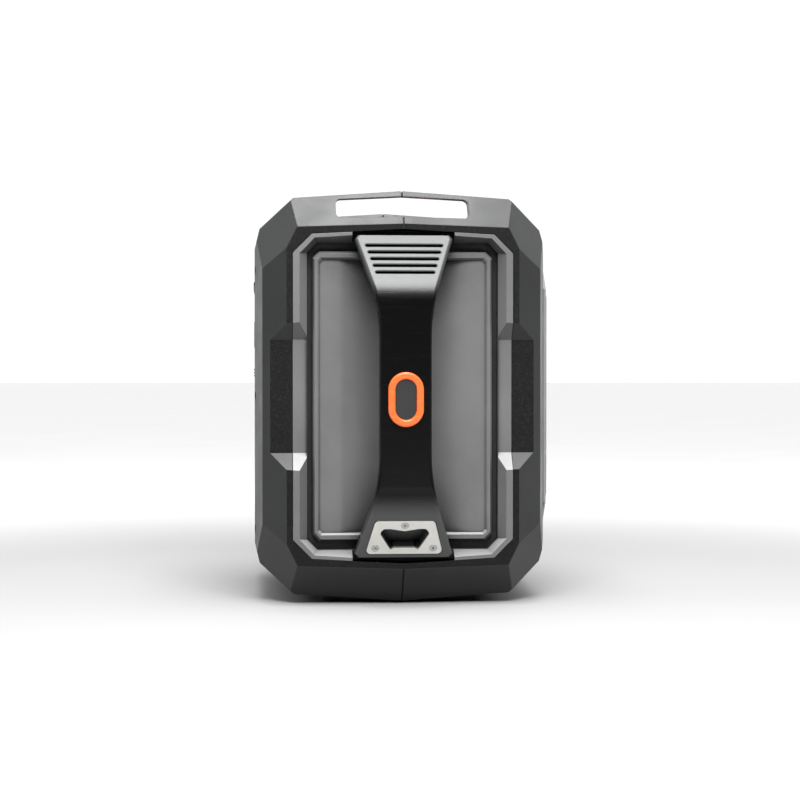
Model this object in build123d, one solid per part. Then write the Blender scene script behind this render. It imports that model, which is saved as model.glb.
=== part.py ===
"""Rugged jump starter pack with a built-in loudspeaker, in millimetres.

+Z is up and the origin is on the floor, under the middle of the pack. The grille
faces -Y and the service door +Y. The model is drawn about the seam between its half
shells and moved to the origin when it is written. The two ends, with their trays
and grab bars, face -X and +X. The housing is a convex body of flat facets, so each
facet is one plane, mirrored to every side.
"""
import os
from functools import cache
from itertools import product
from math import atan2, cos, pi, radians, sin, tan

from build123d import *

# Housing envelope. Heights with "REL" are measured from the housing's mid-height.
HALF_W = 165.0            # centre to end face, at the seam
HALF_H = 191.5            # mid-height to the ridge of the top, at the seam
HALF_D = 137.0            # seam to the flat front and rear walls
KEEL_GAP = 2.0            # floor to the lowest edge of the housing
WALL = 3.5                # moulded wall
SEAM_GAP = 1.4            # slot between the half shells, filled by the gasket
GASKET_INSET = 1.2
EDGE_R = 1.5              # rounding of the facets' edges
MID_Z = KEEL_GAP + HALF_H

# Facets
END_DRAFT = 3.0           # degrees that an end face falls back from the seam
TOP_DRAFT = 3.8           # degrees that the top and bottom fall away from the seam
RIDGE_Y = 108.0           # seam to the outer edge of the end face
HANDLE_FACET_X = 27.0     # run and rise of the sloping facet above and below an end face
HANDLE_FACET_Z = 32.0
HANDLE_FACET_FALL = 0.03  # how fast its lower edge falls away from the seam
HANDLE_EDGE_Y = 98.0
SIDE_FACET_X = 16.3       # end face edge to the outer vertical edge
SIDE_FACET_Y = 22.0
SIDE_FACET_REACH = 31.0   # outer vertical edge to where the wall turns flat
CORNER_TOP_DROP = 55.0    # below the end face's upper edge line
CORNER_LOW_DROP = 73.0
CHAMFER_Y = 36.0          # long chamfers: from the wall in to the top
CHAMFER_KNEE = (4.5, 34.5)   # in from the wall, down from the ridge
CHAMFER_FOOT = 53.5       # down from the ridge to the flat wall

# Deck between the end handles
DECK_DROP = 45.0          # ridge to deck
DECK_END_GAP = 53.0       # end face to the foot of the deck's end slope
DECK_SLOPE_RUN = 14.0
HANDLE_THICK = 12.0       # sloping handle plate
POCKET_HALF_Y = 95.0      # finger pocket behind the plate
POCKET_DROP = 31.5        # ridge to pocket floor
POCKET_END_WALL = 9.0
SLOT_HALF_Y = 62.0
SLOT_LOW_DROP = 25.7      # ridge to the slot's lower edge, at the seam
SLOT_HIGH_DROP = 5.2
SLOT_FALL = 3.0           # the slot's edges fall this much from the seam to its ends
SLOT_R = 5.0

# Side notches in the end ridge
NOTCH_DEPTH = 11.0
NOTCH_HALF_FLOOR = 52.5
NOTCH_HALF_MOUTH = 67.5
NOTCH_INNER_Y = 89.0
NOTCH_LINER = 1.3         # liner thickness on the ramps, in walls

# End tray. Margins are taken from its outline.
TRAY_SIDE_GAP = 5.7       # end face edge to tray outline
TRAY_TOP_DROP = 37.2      # ridge to tray outline at the seam
TRAY_FALL = 4.3           # the outline's top falls this much to its corner
TRAY_CHAMFER = 17.3
TRAY_FIT = 0.4
TRAY_RIM = 2.5
TRAY_SLOPE = (13.5, 12.0, 14.0)   # foot of the slope: side margin, end margin, depth
TRAY_CHANNEL_DEPTH = 22.0
TRAY_BEAD = (18.8, 20.0)          # outer edge of the raised frame: side and end margin
TRAY_FIELD = (25.0, 27.5)
TRAY_FIELD_DEPTH = 17.0
TRAY_BACK = 3.0
TRAY_HOUSING = 28.0        # how far the housing is opened behind an end face
TRAY_LOW_CHAMFER = 0.55    # share of the corner chamfer left at the foot of the slope
BEAD_CORNER = 6.0         # corner chamfers of the raised frame
FIELD_CORNER = 3.0
BEAD_BEVEL = 1.8
SCOOP_HALF_Y = 70.0       # smooth hollow behind the bar
SCOOP_DEPTH = 16.0
SCOOP_POINTS = 9
TAB_Z = (80.0, 120.0)     # locating tabs behind the ridge
TAB_THICK = 2.5
TAB_LAP = 3.0
TAB_ROOT = 8.0

# Grab bar
BAR_PROUD = 26.0          # bar face to end face
BAR_THICK = 15.0
BAR_HALF_Y = 23.7         # plain stretch
BAR_END_HALF_Y = 46.5     # flared ends
BAR_END_GAP = 5.9         # tray outline to bar end, at the seam
BAR_BEND_DROP = 53.0      # bar end to the bend
BAR_BEND_R = 55.0
BAR_FLARE = 0.34
BAR_FLARE_R = 180.0
BAR_FOOT_SINK = 1.0
BAR_SEAT_DEPTH = 15.0     # notch floor in the tray, below the end face
BAR_FOOT_LEN = 29.0
BAR_FIT = 0.8
BAR_EDGE_R = 3.0
BAR_CORNER = 4.0          # chamfer at the corners of its ends
GRIP_GROOVES = 5
GROOVE_PITCH = 6.3
GROOVE_H = 2.4
GROOVE_DEPTH = 4.0
GROOVE_LIP = 0.8          # bevel round each groove
GROOVE_FIRST_DROP = 9.5  # bar end to the first groove
GROOVE_EDGE = 7.8         # groove end to bar edge
BAR_SCREW_Y = 18.0
BAR_SCREW_DROP = 9.0
BAR_SCREW_GRIP = 9.5      # screw length in the foot
BAR_INNER_R = 22.0

# Badge ring in the bar
RING_HALF = (16.2, 25.0)
RING_WIDTH = 6.6
RING_HIGH = 3.0
RING_REL_Z = -2.5
RING_SINK = 1.5
RING_FIT = 0.15
RING_ROUND = 2.2

# Bottle opener plate
OPENER_H = 35.0
OPENER_TOP_W = 54.5
OPENER_LOW_W = 71.5
OPENER_T = 2.5
OPENER_PROUD = 0.4
OPENER_FIT = 0.5
OPENER_LOW_GAP = 4.0      # plate to bar end, along the slope
OPENER_R = 4.0
OPENER_WELL = 16.0
SCREW_HEAD_R = 3.7
SCREW_SHANK_R = 1.9
SCREW_GRIP = 0.05         # play between a shank and its hole
SCREW_SOCKET_R = 1.3
SCREW_HEAD_H = 2.4
COUNTERSINK = 2.2
OPENER_SCREW_LEN = 9.0
HOLE_PLAY = 0.1           # play round a screw in a clearance hole
# Half of the opener's mouth, from the dip in its upper edge round to the tooth's flank
OPENER_MOUTH = [(0, 7.0), (13, 9.3), (19.5, 9.3), (23, 4.5), (13.5, -12.2), (11.8, -12.8), (9.9, -11.4)]
OPENER_MOUTH_R = 3.6
OPENER_TOP_SCREW = 4.6    # screws in from the plate's edges
OPENER_LOW_SCREW = (9.0, 6.2)

# Feet
FOOT_X = 108.0
FOOT_W = 24.0
FOOT_HALF_Y = 75.0
FOOT_SCREW_Y = 50.0
FOOT_R = 6.0
FOOT_BEVEL = 0.8
FOOT_HEAD_SINK = 1.2      # floor to the screw heads
FOOT_SCREW_LEN = 12.0

# Front: baffle, bezel, grille
GRILLE_HALF = (106.0, 128.0)
GRILLE_CHAMFER = 26.0
OCTAGON_INSET = 0.586      # how much a 45 degree chamfer shrinks per unit of margin
BEZEL_W = 9.0
BEZEL_PROUD = 4.0
BEZEL_BEVEL = 1.6
BEZEL_FIT = 0.3
GRILLE_LEDGE = (3.5, 1.5)  # width and thickness of the bezel's ledge behind the grille
BAFFLE_LAP = 5.0
BAFFLE_T = 6.0
BAFFLE_SET_BACK = 7.5
GRILLE_RISE = 7.0
GRILLE_SLOPE_W = 9.0
GRILLE_T = 1.5

# Loudspeakers
WOOFER_REL_Z = -38.0
WOOFER_R = 83.0
WOOFER_BORE_R = 71.0
FLANGE_T = 4.0
TWEETER_REL_Z = 84.0
TWEETER_R = 38.0
TWEETER_BORE_R = 31.0
DRIVER_SCREW_IN = (6.0, 3.6)   # woofer and tweeter rims to their screws
DRIVER_HEAD_R = 3.1

# Deck panel and buttons
DECK_OPEN = (95.0, 70.0)
DECK_LAP = 7.0
DECK_T = 3.0
BUTTON_PROUD = 1.8
BUTTON_PLAY = 0.3
BUTTON_Y = -34.0
BUTTON_BOARD_DROP = 9.5   # deck to the switch board

# Service bay
BAY_HALF_X = 78.0
BAY_LOW = 22.0
BAY_HIGH = 98.0
BAY_DEPTH = 38.0
DOOR_RECESS = 4.5
DOOR_MARGIN = 8.0
DOOR_FIT = 0.4
DOOR_T = 3.8
DOOR_CORNER_R = 5.0
DOOR_BEVEL = 0.8
DIP = (13.0, 7.0)         # finger dip under the door: half width, height
HINGE_RISE = 9.0          # bay's upper edge to the hinge pin
PIN_R = 1.25
PIN_PLAY = 0.05
KNUCKLE_R = 3.0
TUB_WALL = 2.5
ACCESSORY_BORE_R = 10.5
ACCESSORY_DEPTH = 38.0

# Rear wall: shallow field round the door, with ribs below it
REAR_FIELD_HALF = (104.0, 130.0)
REAR_FIELD_CHAMFER = 24.0
REAR_FIELD_DEPTH = 1.0
REAR_RIBS = 7
REAR_RIB_LOW = -112.0
REAR_RIB_PITCH = 15.0
REAR_RIB = (70.0, 1.5)    # half length, half height

# Battery
CELL_R = 13.0
CELL_LEN = 65.0
CELL_PITCH = 27.0
CASE_WALL = 2.0
TRAY_PLATE_T = 4.0
BATTERY_Y = 62.0
BATTERY_FLOOR_DROP = 25.0  # lowest edge of the housing to the battery tray

# Shell fasteners
POST_R = 6.0
POST_INSET_X = 53.0       # end face to the posts
POST_REL_Z = (-125.0, 0.0, 118.0)
SHELL_SCREW_R = 2.0
SHELL_HEAD_R = 4.0

DECK_REL = HALF_H - DECK_DROP
POCKET_REL = HALF_H - POCKET_DROP
TRAY_HALF_Y = RIDGE_Y - TRAY_SIDE_GAP
TRAY_HALF_Z = HALF_H - TRAY_TOP_DROP
BAR_HALF_Z = TRAY_HALF_Z - BAR_END_GAP
BAR_FACE_X = HALF_W + BAR_PROUD
BAR_END_X = HALF_W - BAR_FOOT_SINK
BAR_BEND_REL = BAR_HALF_Z - BAR_BEND_DROP
BAR_SLOPE = atan2(BAR_FACE_X - BAR_END_X, BAR_BEND_DROP)
WALL_FLAT_X = HALF_W - RIDGE_Y * tan(radians(END_DRAFT)) - SIDE_FACET_X - SIDE_FACET_REACH
LOOSE = 400.0             # longer than the housing in every direction


# ---------------------------------------------------------------- helpers

def box(x0, x1, y0, y1, z0, z1):
    """A box between two corners, with heights from mid-height."""
    size = (x1 - x0, y1 - y0, z1 - z0)
    centre = ((x0 + x1) / 2, (y0 + y1) / 2, MID_Z + (z0 + z1) / 2)
    return Pos(*centre) * Box(*size)


def end_plane(x):
    """Sketch plane facing +X: local x is Y, local y is height from mid-height."""
    return Plane(origin=(x, 0, MID_Z), x_dir=(0, 1, 0), z_dir=(1, 0, 0))


def front_plane(y):
    """Sketch plane facing -Y: local x is X, local y is height from mid-height."""
    return Plane(origin=(0, y, MID_Z), x_dir=(1, 0, 0), z_dir=(0, -1, 0))


def side_plane(y):
    """Sketch plane facing +Y that keeps local x along +X, so local y points down."""
    return Plane(origin=(0, y, MID_Z), x_dir=(1, 0, 0), z_dir=(0, 1, 0))


def rod_y(radius, y0, y1, x=0.0, rel_z=0.0):
    """A round bar along Y."""
    return Pos(x, (y0 + y1) / 2, MID_Z + rel_z) * Rot(90, 0, 0) * Cylinder(radius, abs(y1 - y0))


def rod_x(radius, x0, x1, y=0.0, rel_z=0.0):
    """A round bar along X."""
    return Pos((x0 + x1) / 2, y, MID_Z + rel_z) * Rot(0, 90, 0) * Cylinder(radius, abs(x1 - x0))


def rod_z(radius, z0, z1, x=0.0, y=0.0):
    """A round bar along Z, with heights from mid-height."""
    return Pos(x, y, MID_Z + (z0 + z1) / 2) * Cylinder(radius, z1 - z0)


def ring_y(outer, inner, y0, y1, x=0.0, rel_z=0.0):
    return rod_y(outer, y0, y1, x, rel_z) - rod_y(inner, y0 - 1, y1 + 1, x, rel_z)


def spun_y(points, x=0.0, rel_z=0.0):
    """Turns a closed outline of (radius, y) points about an axis along Y."""
    face = Plane.XY * make_face(Polyline(*points, close=True))
    return Pos(x, 0, MID_Z + rel_z) * revolve(face, Axis.Y)


def along_x(sketch, x0, x1):
    """Extrudes an end-view sketch from one X to another."""
    return extrude(end_plane(x0) * sketch, amount=x1 - x0, dir=(1, 0, 0))


def along_y(sketch, y0, y1):
    """Extrudes a side-view sketch from one Y to another."""
    return extrude(side_plane(y0) * sketch, amount=y1 - y0, dir=(0, 1, 0))


def raised(sketch, plane, low, high):
    """Extrudes a sketch on a plane between two heights above it."""
    return extrude(plane * Pos(0, 0, low) * sketch, amount=high - low, dir=plane.z_dir)


def left_of(right_part):
    return mirror(right_part, about=Plane.YZ)


def group(parts):
    """Separate solids that share one node."""
    return Compound([s for part in parts for s in part.solids()])


# ---------------------------------------------------------------- facets

def outward(points):
    """Point and outward normal of the plane through three points about mid-height."""
    a, b, c = (Vector(*p) for p in points)
    normal = (b - a).cross(c - a).normalized()
    return a, normal if normal.dot(a) > 0 else -normal


def handle_facet():
    """The sloping facet between an end face and the top."""
    draft = tan(radians(END_DRAFT)) * HANDLE_EDGE_Y
    return outward((
        (HALF_W, 0, HALF_H - HANDLE_FACET_Z),
        (HALF_W - HANDLE_FACET_X, 0, HALF_H),
        (HALF_W - draft, HANDLE_EDGE_Y,
         HALF_H - HANDLE_FACET_Z - HANDLE_EDGE_Y * HANDLE_FACET_FALL),
    ))


def quarter_facets():
    """Every facet whose normal points into the +X +Y +Z quarter."""
    end, top = radians(END_DRAFT), radians(TOP_DRAFT)
    ridge_x = HALF_W - RIDGE_Y * tan(end)
    outer_x, outer_y = ridge_x - SIDE_FACET_X, RIDGE_Y + SIDE_FACET_Y
    chamfer_in = HALF_D - CHAMFER_Y
    knee = (HALF_D - CHAMFER_KNEE[0], HALF_H - CHAMFER_KNEE[1])
    edge = HALF_H - HANDLE_FACET_Z - HANDLE_EDGE_Y * HANDLE_FACET_FALL
    return [
        (Vector(HALF_W, 0, 0), Vector(cos(end), sin(end), 0)),
        (Vector(0, 0, HALF_H), Vector(0, sin(top), cos(top))),
        (Vector(0, HALF_D, 0), Vector(0, 1, 0)),
        handle_facet(),
        outward(((ridge_x, RIDGE_Y, 0), (outer_x, outer_y, 0), (outer_x, outer_y, 9))),
        outward(((outer_x, outer_y, 0), (WALL_FLAT_X, HALF_D, 0), (WALL_FLAT_X, HALF_D, 9))),
        outward(((0, chamfer_in, HALF_H - chamfer_in * tan(top)), (0, *knee), (9, *knee))),
        outward(((0, *knee), (0, HALF_D, HALF_H - CHAMFER_FOOT), (9, *knee))),
        outward((
            (HALF_W - HANDLE_EDGE_Y * tan(end), HANDLE_EDGE_Y, edge),
            (ridge_x, RIDGE_Y, HALF_H - CORNER_TOP_DROP),
            (outer_x, outer_y, HALF_H - CORNER_LOW_DROP),
        )),
    ]


@cache
def faceted(inset):
    """The housing's convex body with every facet moved in by inset."""
    body = box(-LOOSE, LOOSE, -LOOSE, LOOSE, -LOOSE, LOOSE)
    seen = set()
    for (point, normal), signs in product(quarter_facets(), product((1, -1), repeat=3)):
        flipped = Vector(*(a * b for a, b in zip(normal, signs)))
        if tuple(round(v, 6) for v in flipped) in seen:
            continue
        seen.add(tuple(round(v, 6) for v in flipped))
        origin = Vector(*(a * b for a, b in zip(point, signs))) - flipped * inset
        plane = Plane(origin=origin + Vector(0, 0, MID_Z), z_dir=flipped)
        body = split(body, bisect_by=plane, keep=Keep.BOTTOM)
    return body


# ---------------------------------------------------------------- end tray outlines

def end_outline(x, side_margin, end_margin, chamfer, fall):
    """Ten-sided outline of the end tray, drawn in from its edge by the margins."""
    y, z = TRAY_HALF_Y - side_margin, TRAY_HALF_Z - end_margin
    quarter = [(0, z), (y - chamfer, z - fall), (y, z - fall - chamfer)]
    right = quarter + [(a, -b) for a, b in reversed(quarter)]
    left = [(-a, b) for a, b in reversed(right[1:-1])]
    return end_plane(x) * Polygon(*(right + left), align=None)


def end_prism(x0, x1, side_margin, end_margin, chamfer, fall=TRAY_FALL):
    face = end_outline(x0, side_margin, end_margin, chamfer, fall)
    return extrude(face, amount=x1 - x0, dir=(1, 0, 0))


# ---------------------------------------------------------------- housing shells

def deck_trough():
    """Open space above the deck, with sloping ends, and the finger pockets."""
    foot, high = HALF_W - DECK_END_GAP, HALF_H + 5
    run = DECK_SLOPE_RUN * (high - DECK_REL) / DECK_DROP
    section = Polygon((-foot, -DECK_REL), (foot, -DECK_REL), (foot + run, -high),
                      (-foot - run, -high), align=None)
    trough = along_y(section, -LOOSE, LOOSE)
    point, normal = handle_facet()
    pocket = box(foot, HALF_W - POCKET_END_WALL, -POCKET_HALF_Y, POCKET_HALF_Y, POCKET_REL, high)
    for sign in (1, -1):
        facing = Vector(normal.X, normal.Y * sign, normal.Z)
        origin = point - facing * HANDLE_THICK + Vector(0, 0, MID_Z)
        pocket = split(pocket, bisect_by=Plane(origin=origin, z_dir=facing), keep=Keep.BOTTOM)
    return trough + pocket + left_of(pocket)


def hand_slot():
    """Horizontal hand slot through both handle plates."""
    low, high = HALF_H - SLOT_LOW_DROP, HALF_H - SLOT_HIGH_DROP
    face = Polygon((-SLOT_HALF_Y, low - 1), (0, low), (SLOT_HALF_Y, low - 1),
                   (SLOT_HALF_Y, high - SLOT_FALL), (0, high), (-SLOT_HALF_Y, high - SLOT_FALL),
                   align=None)
    corners = [v for v in face.vertices() if abs(v.X) > SLOT_HALF_Y / 2]
    return along_x(fillet(corners, SLOT_R), -LOOSE, LOOSE)


def notch(grow):
    """One side notch of the +X end on the +Y side, grown by a wall for its liner."""
    floor_x = HALF_W - RIDGE_Y * tan(radians(END_DRAFT)) - NOTCH_DEPTH
    lip_x = HALF_W + 5
    ramp = (NOTCH_HALF_MOUTH - NOTCH_HALF_FLOOR) / NOTCH_DEPTH
    mouth = NOTCH_HALF_FLOOR + ramp * (lip_x - floor_x)
    floor = NOTCH_HALF_FLOOR + grow
    section = Polygon((floor_x - grow, -floor), (lip_x, -mouth - grow * NOTCH_LINER),
                      (lip_x, mouth + grow * NOTCH_LINER), (floor_x - grow, floor), align=None)
    return along_y(section, NOTCH_INNER_Y - grow, HALF_D + 20)


def four_ways(shape):
    """A shape of the +X +Y side and its copies at the other three."""
    rear = shape + left_of(shape)
    return rear + mirror(rear, about=Plane.XZ)


def cavity():
    """The inside of the housing, below the deck and the finger pockets."""
    foot = HALF_W - DECK_END_GAP + DECK_SLOPE_RUN
    space = faceted(WALL)
    space -= box(-foot, foot, -LOOSE, LOOSE, DECK_REL - WALL, LOOSE)
    space -= box(-LOOSE, LOOSE, -LOOSE, LOOSE, POCKET_REL - WALL, LOOSE)
    space -= four_ways(notch(WALL))
    pad = DOOR_MARGIN + WALL
    hinge_top = BAY_HIGH + HINGE_RISE + DOOR_MARGIN + WALL
    space -= box(-BAY_HALF_X - pad, BAY_HALF_X + pad, HALF_D - DOOR_RECESS - WALL, LOOSE,
                 BAY_LOW - pad, hinge_top)
    return space


def door_recess():
    """Shallow recess in the rear wall for the door, its hinge groove and finger dip."""
    x, floor = BAY_HALF_X + DOOR_MARGIN, HALF_D - DOOR_RECESS
    hinge = BAY_HIGH + HINGE_RISE
    recess = box(-x, x, floor, LOOSE, BAY_LOW - DOOR_MARGIN, hinge + KNUCKLE_R + 2)
    recess += box(-x, x, floor - 1, LOOSE, hinge - KNUCKLE_R - 2, hinge + KNUCKLE_R + 2)
    dip = box(-DIP[0], DIP[0], floor, LOOSE, BAY_LOW - DOOR_MARGIN - DIP[1], BAY_LOW)
    return recess + dip


def rear_field():
    """Shallow recess in the rear wall, with raised ribs left standing in it."""
    (x, z), c, floor = REAR_FIELD_HALF, REAR_FIELD_CHAMFER, HALF_D - REAR_FIELD_DEPTH
    pts = [(x - c, z), (x, z - c), (x, c - z), (x - c, -z)]
    outline = Polygon(*(pts + [(-a, b) for a, b in reversed(pts)]), align=None)
    field = along_y(outline, floor, HALF_D + 1)
    half_x, half_z = REAR_RIB
    for i in range(REAR_RIBS):
        rib_z = REAR_RIB_LOW + i * REAR_RIB_PITCH
        field -= box(-half_x, half_x, floor - 1, HALF_D + 2, rib_z - half_z, rib_z + half_z)
    return field


def post_places():
    x = HALF_W - POST_INSET_X
    return [(sign * x, z) for sign in (1, -1) for z in POST_REL_Z]


def shell_posts():
    """Screw posts that run from the front wall to the rear wall."""
    reach = HALF_D - WALL
    posts = [rod_y(POST_R, -reach, reach, x, z) for x, z in post_places()]
    holes = [rod_y(SHELL_SCREW_R + SCREW_GRIP, -reach / 2, HALF_D + 5, x, z)
             + rod_y(SHELL_HEAD_R + 0.5, reach - 4, HALF_D + 5, x, z) for x, z in post_places()]
    return posts, holes


@cache
def housing():
    """Both half shells before they are parted at the seam."""
    posts, holes = shell_posts()
    body = faceted(0)
    body = fillet(body.edges(), EDGE_R) - cavity() - deck_trough() - hand_slot()
    for post in posts:
        body += post
    body -= four_ways(notch(0))
    mouth = end_prism(HALF_W - TRAY_HOUSING, HALF_W + 9, 0, 0, TRAY_CHAMFER)
    body -= mouth
    body -= left_of(mouth)
    body -= extrude(grille_outline(-LOOSE, 0), amount=LOOSE - HALF_D + WALL + 1, dir=(0, 1, 0))
    body -= rear_field() + door_recess()
    body -= box(-BAY_HALF_X, BAY_HALF_X, HALF_D - 20, LOOSE, BAY_LOW, BAY_HIGH)
    body -= box(-DECK_OPEN[0], DECK_OPEN[0], -DECK_OPEN[1], DECK_OPEN[1], DECK_REL - 9, DECK_REL + 1)
    for hole in holes + foot_screw_holes() + deck_screw_holes(WALL + 1):
        body -= hole
    return body


def half_shell(side):
    reach = side * LOOSE
    near = side * SEAM_GAP / 2
    return housing() & box(-LOOSE, LOOSE, min(near, reach), max(near, reach), -LOOSE, LOOSE)


def seam_gasket():
    slab = box(-LOOSE, LOOSE, -SEAM_GAP / 2, SEAM_GAP / 2, -LOOSE, LOOSE)
    ring = housing() & slab & faceted(GASKET_INSET)
    for x, z in post_places():
        ring -= rod_y(POST_R + 1, -5, 5, x, z)
    return ring


def shell_screws():
    head_seat = HALF_D - WALL - 4
    return group([
        rod_y(SHELL_SCREW_R, -HALF_D / 3, head_seat, x, z)
        + rod_y(SHELL_HEAD_R, head_seat, head_seat + 3, x, z)
        - rod_y(SCREW_SOCKET_R + 0.5, head_seat + 1, head_seat + 5, x, z)
        for x, z in post_places()
    ])


# ---------------------------------------------------------------- end trays

def tray_recess():
    """What is cut into the +X tray: slope, channel, field and finger scoop."""
    side, end, depth = TRAY_SLOPE
    chamfer = TRAY_CHAMFER * TRAY_LOW_CHAMFER
    mouth = end_outline(HALF_W + 1, TRAY_RIM - 1, TRAY_RIM - 1, TRAY_CHAMFER, TRAY_FALL)
    slope = loft([mouth, end_outline(HALF_W - depth, side, end, chamfer, 0)], ruled=True)
    channel = end_prism(HALF_W - TRAY_CHANNEL_DEPTH, HALF_W - depth, side, end, chamfer, 0)
    shoulder_x = HALF_W - depth - BEAD_BEVEL
    island = end_prism(HALF_W - TRAY_CHANNEL_DEPTH - 1, shoulder_x, *TRAY_BEAD, BEAD_CORNER, 0)
    island += bevelled(shoulder_x, HALF_W - depth, TRAY_BEAD, BEAD_BEVEL, BEAD_CORNER)
    field = end_prism(HALF_W - TRAY_FIELD_DEPTH, HALF_W - depth, *TRAY_FIELD, FIELD_CORNER, 0)
    field += bevelled(shoulder_x, HALF_W - depth, TRAY_FIELD, -BEAD_BEVEL, FIELD_CORNER)
    return slope + (channel - island) + field + scoop(0, TRAY_FIELD[1])


def bevelled(x0, x1, margins, inset, corner):
    """Outline block whose sides slope in by inset from x0 to x1."""
    side, end = margins
    return loft([end_outline(x0, side, end, corner, 0),
                 end_outline(x1, side + inset, end + inset, corner, 0)], ruled=True)


def scoop(grow, end_margin):
    """Smooth hollow behind the bar, or its backing when grown."""
    height = TRAY_HALF_Z - end_margin
    mouth_x, half_y = HALF_W - TRAY_FIELD_DEPTH, SCOOP_HALF_Y + grow
    points = []
    for i in range(SCOOP_POINTS):
        y = half_y * (2 * i / (SCOOP_POINTS - 1) - 1)
        depth = (SCOOP_DEPTH + grow) * (1 + cos(pi * y / half_y)) / 2
        points.append((mouth_x - depth, y))
    curve = Spline(*points, tangents=[(0, 1), (0, 1)])
    face = make_face(curve + Polyline(points[-1], (mouth_x + 0.5, half_y), (mouth_x + 0.5, -half_y),
                                      points[0]))
    return extrude(Pos(0, 0, MID_Z - height) * face, amount=2 * height, dir=(0, 0, 1))


def end_tray():
    """The +X tray: rim, sloping walls, channel, raised frame and scooped field."""
    back_x = HALF_W - TRAY_CHANNEL_DEPTH - TRAY_BACK
    tray = end_prism(back_x, HALF_W + 1, TRAY_FIT, TRAY_FIT, TRAY_CHAMFER)
    bead = (TRAY_BEAD[0] + TRAY_BACK, TRAY_BEAD[1] + TRAY_BACK)
    tray -= end_prism(back_x - 1, HALF_W - TRAY_FIELD_DEPTH - TRAY_BACK, *bead, 6.0, 0)
    tray += scoop(TRAY_BACK, TRAY_FIELD[1] - TRAY_BACK)
    tray += tray_tabs()
    tray -= tray_recess()
    tray = (tray & faceted(0)) - four_ways(notch(0)) - bar_seats()
    for hole in bar_screw_holes(SCREW_SHANK_R + 0.2):
        tray -= hole
    return tray


def tray_tabs():
    """Tabs that catch behind the ridge of the shells."""
    sheet = faceted(WALL) - faceted(WALL + TAB_THICK)
    tabs = box(TRAY_HALF_Y, HALF_W, 0, TRAY_HALF_Y + TAB_LAP, *TAB_Z) & sheet
    tabs -= box(0, HALF_W, 0, TRAY_HALF_Y - TAB_ROOT, -LOOSE, LOOSE)
    rear = tabs + mirror(tabs, about=Plane(origin=(0, 0, MID_Z), z_dir=(0, 0, 1)))
    return rear + mirror(rear, about=Plane.XZ)


# ---------------------------------------------------------------- grab bar

def bar_outline(grow):
    """Front view of the bar: a plain stretch with flared ends."""
    end_y, end_z = BAR_END_HALF_Y + grow, BAR_HALF_Z + grow
    waist_y = BAR_HALF_Y + grow
    waist_z = end_z - (end_y - waist_y) / BAR_FLARE
    quarter = [(end_y, end_z), (waist_y, waist_z)]
    right = quarter + [(a, -b) for a, b in reversed(quarter)]
    left = [(-a, b) for a, b in reversed(right)]
    face = Polygon(*(right + left), align=None)
    waist = [v for v in face.vertices() if abs(v.X) < waist_y + 0.1]
    face = fillet(waist, BAR_FLARE_R)
    return chamfer([v for v in face.vertices() if abs(v.Y) > end_z - 0.1], BAR_CORNER)


def bar_side():
    """Side view of the bar: arched out from its two feet."""
    foot_in = BAR_HALF_Z - BAR_FOOT_LEN
    seat_x = HALF_W - BAR_SEAT_DEPTH
    inner_x = BAR_FACE_X - BAR_THICK
    half = [(BAR_FACE_X, BAR_BEND_REL), (BAR_END_X, BAR_HALF_Z), (seat_x, BAR_HALF_Z),
            (seat_x, foot_in), (inner_x, BAR_BEND_REL - 6)]
    section = Polygon(*(half + [(x, -z) for x, z in reversed(half)]), align=None)
    outer = [v for v in section.vertices() if v.X > BAR_FACE_X - 0.1]
    section = fillet(outer, BAR_BEND_R)
    inner = [v for v in section.vertices() if abs(v.X - inner_x) < 0.1]
    return fillet(inner, BAR_INNER_R)


def bar_body(grow):
    arch = along_y(bar_side(), -HALF_D, HALF_D)
    return arch & along_x(bar_outline(grow), 0, LOOSE)


def bar_seats():
    """Notches in the tray that take the bar's feet."""
    foot_in = BAR_HALF_Z - BAR_FOOT_LEN
    profile = along_x(bar_outline(BAR_FIT), HALF_W - BAR_SEAT_DEPTH, LOOSE)
    profile += box(HALF_W - BAR_SEAT_DEPTH, HALF_W + 9, -BAR_END_HALF_Y - BAR_FIT,
                   BAR_END_HALF_Y + BAR_FIT, BAR_HALF_Z - 9, TRAY_HALF_Z + 9)
    profile += box(HALF_W - BAR_SEAT_DEPTH, HALF_W + 9, -BAR_END_HALF_Y - BAR_FIT,
                   BAR_END_HALF_Y + BAR_FIT, -TRAY_HALF_Z - 9, -BAR_HALF_Z + 9)
    return profile - box(0, LOOSE, -LOOSE, LOOSE, -foot_in + 1, foot_in - 1)


def bar_screw_places():
    z = BAR_HALF_Z - BAR_SCREW_DROP
    return [(y, s * z) for y in (-BAR_SCREW_Y, BAR_SCREW_Y) for s in (1, -1)]


def bar_screw_holes(radius):
    seat = HALF_W - BAR_SEAT_DEPTH
    back = HALF_W - TRAY_CHANNEL_DEPTH - TRAY_BACK
    return [rod_x(radius, back - 5, seat + 10, y, z) for y, z in bar_screw_places()]


def bar_screws():
    """Screws through the tray into the bar's feet."""
    seat = HALF_W - BAR_SEAT_DEPTH
    back = HALF_W - TRAY_CHANNEL_DEPTH - TRAY_BACK
    screws = [rod_x(SCREW_SHANK_R, back, seat + BAR_SCREW_GRIP, y, z)
              + rod_x(SCREW_HEAD_R, back - SCREW_HEAD_H, back, y, z) for y, z in bar_screw_places()]
    return group(screws + [left_of(s) for s in screws])


def slope_plane(upper):
    """Plane on the bar's sloping face, centred on it, with local y up the slope."""
    sign = 1 if upper else -1
    middle = (BAR_BEND_REL + BAR_HALF_Z) / 2
    normal = Vector(cos(BAR_SLOPE), 0, sign * sin(BAR_SLOPE))
    origin = ((BAR_FACE_X + BAR_END_X) / 2, 0, MID_Z + sign * middle)
    return Plane(origin=origin, x_dir=(0, 1, 0), z_dir=normal)


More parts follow.
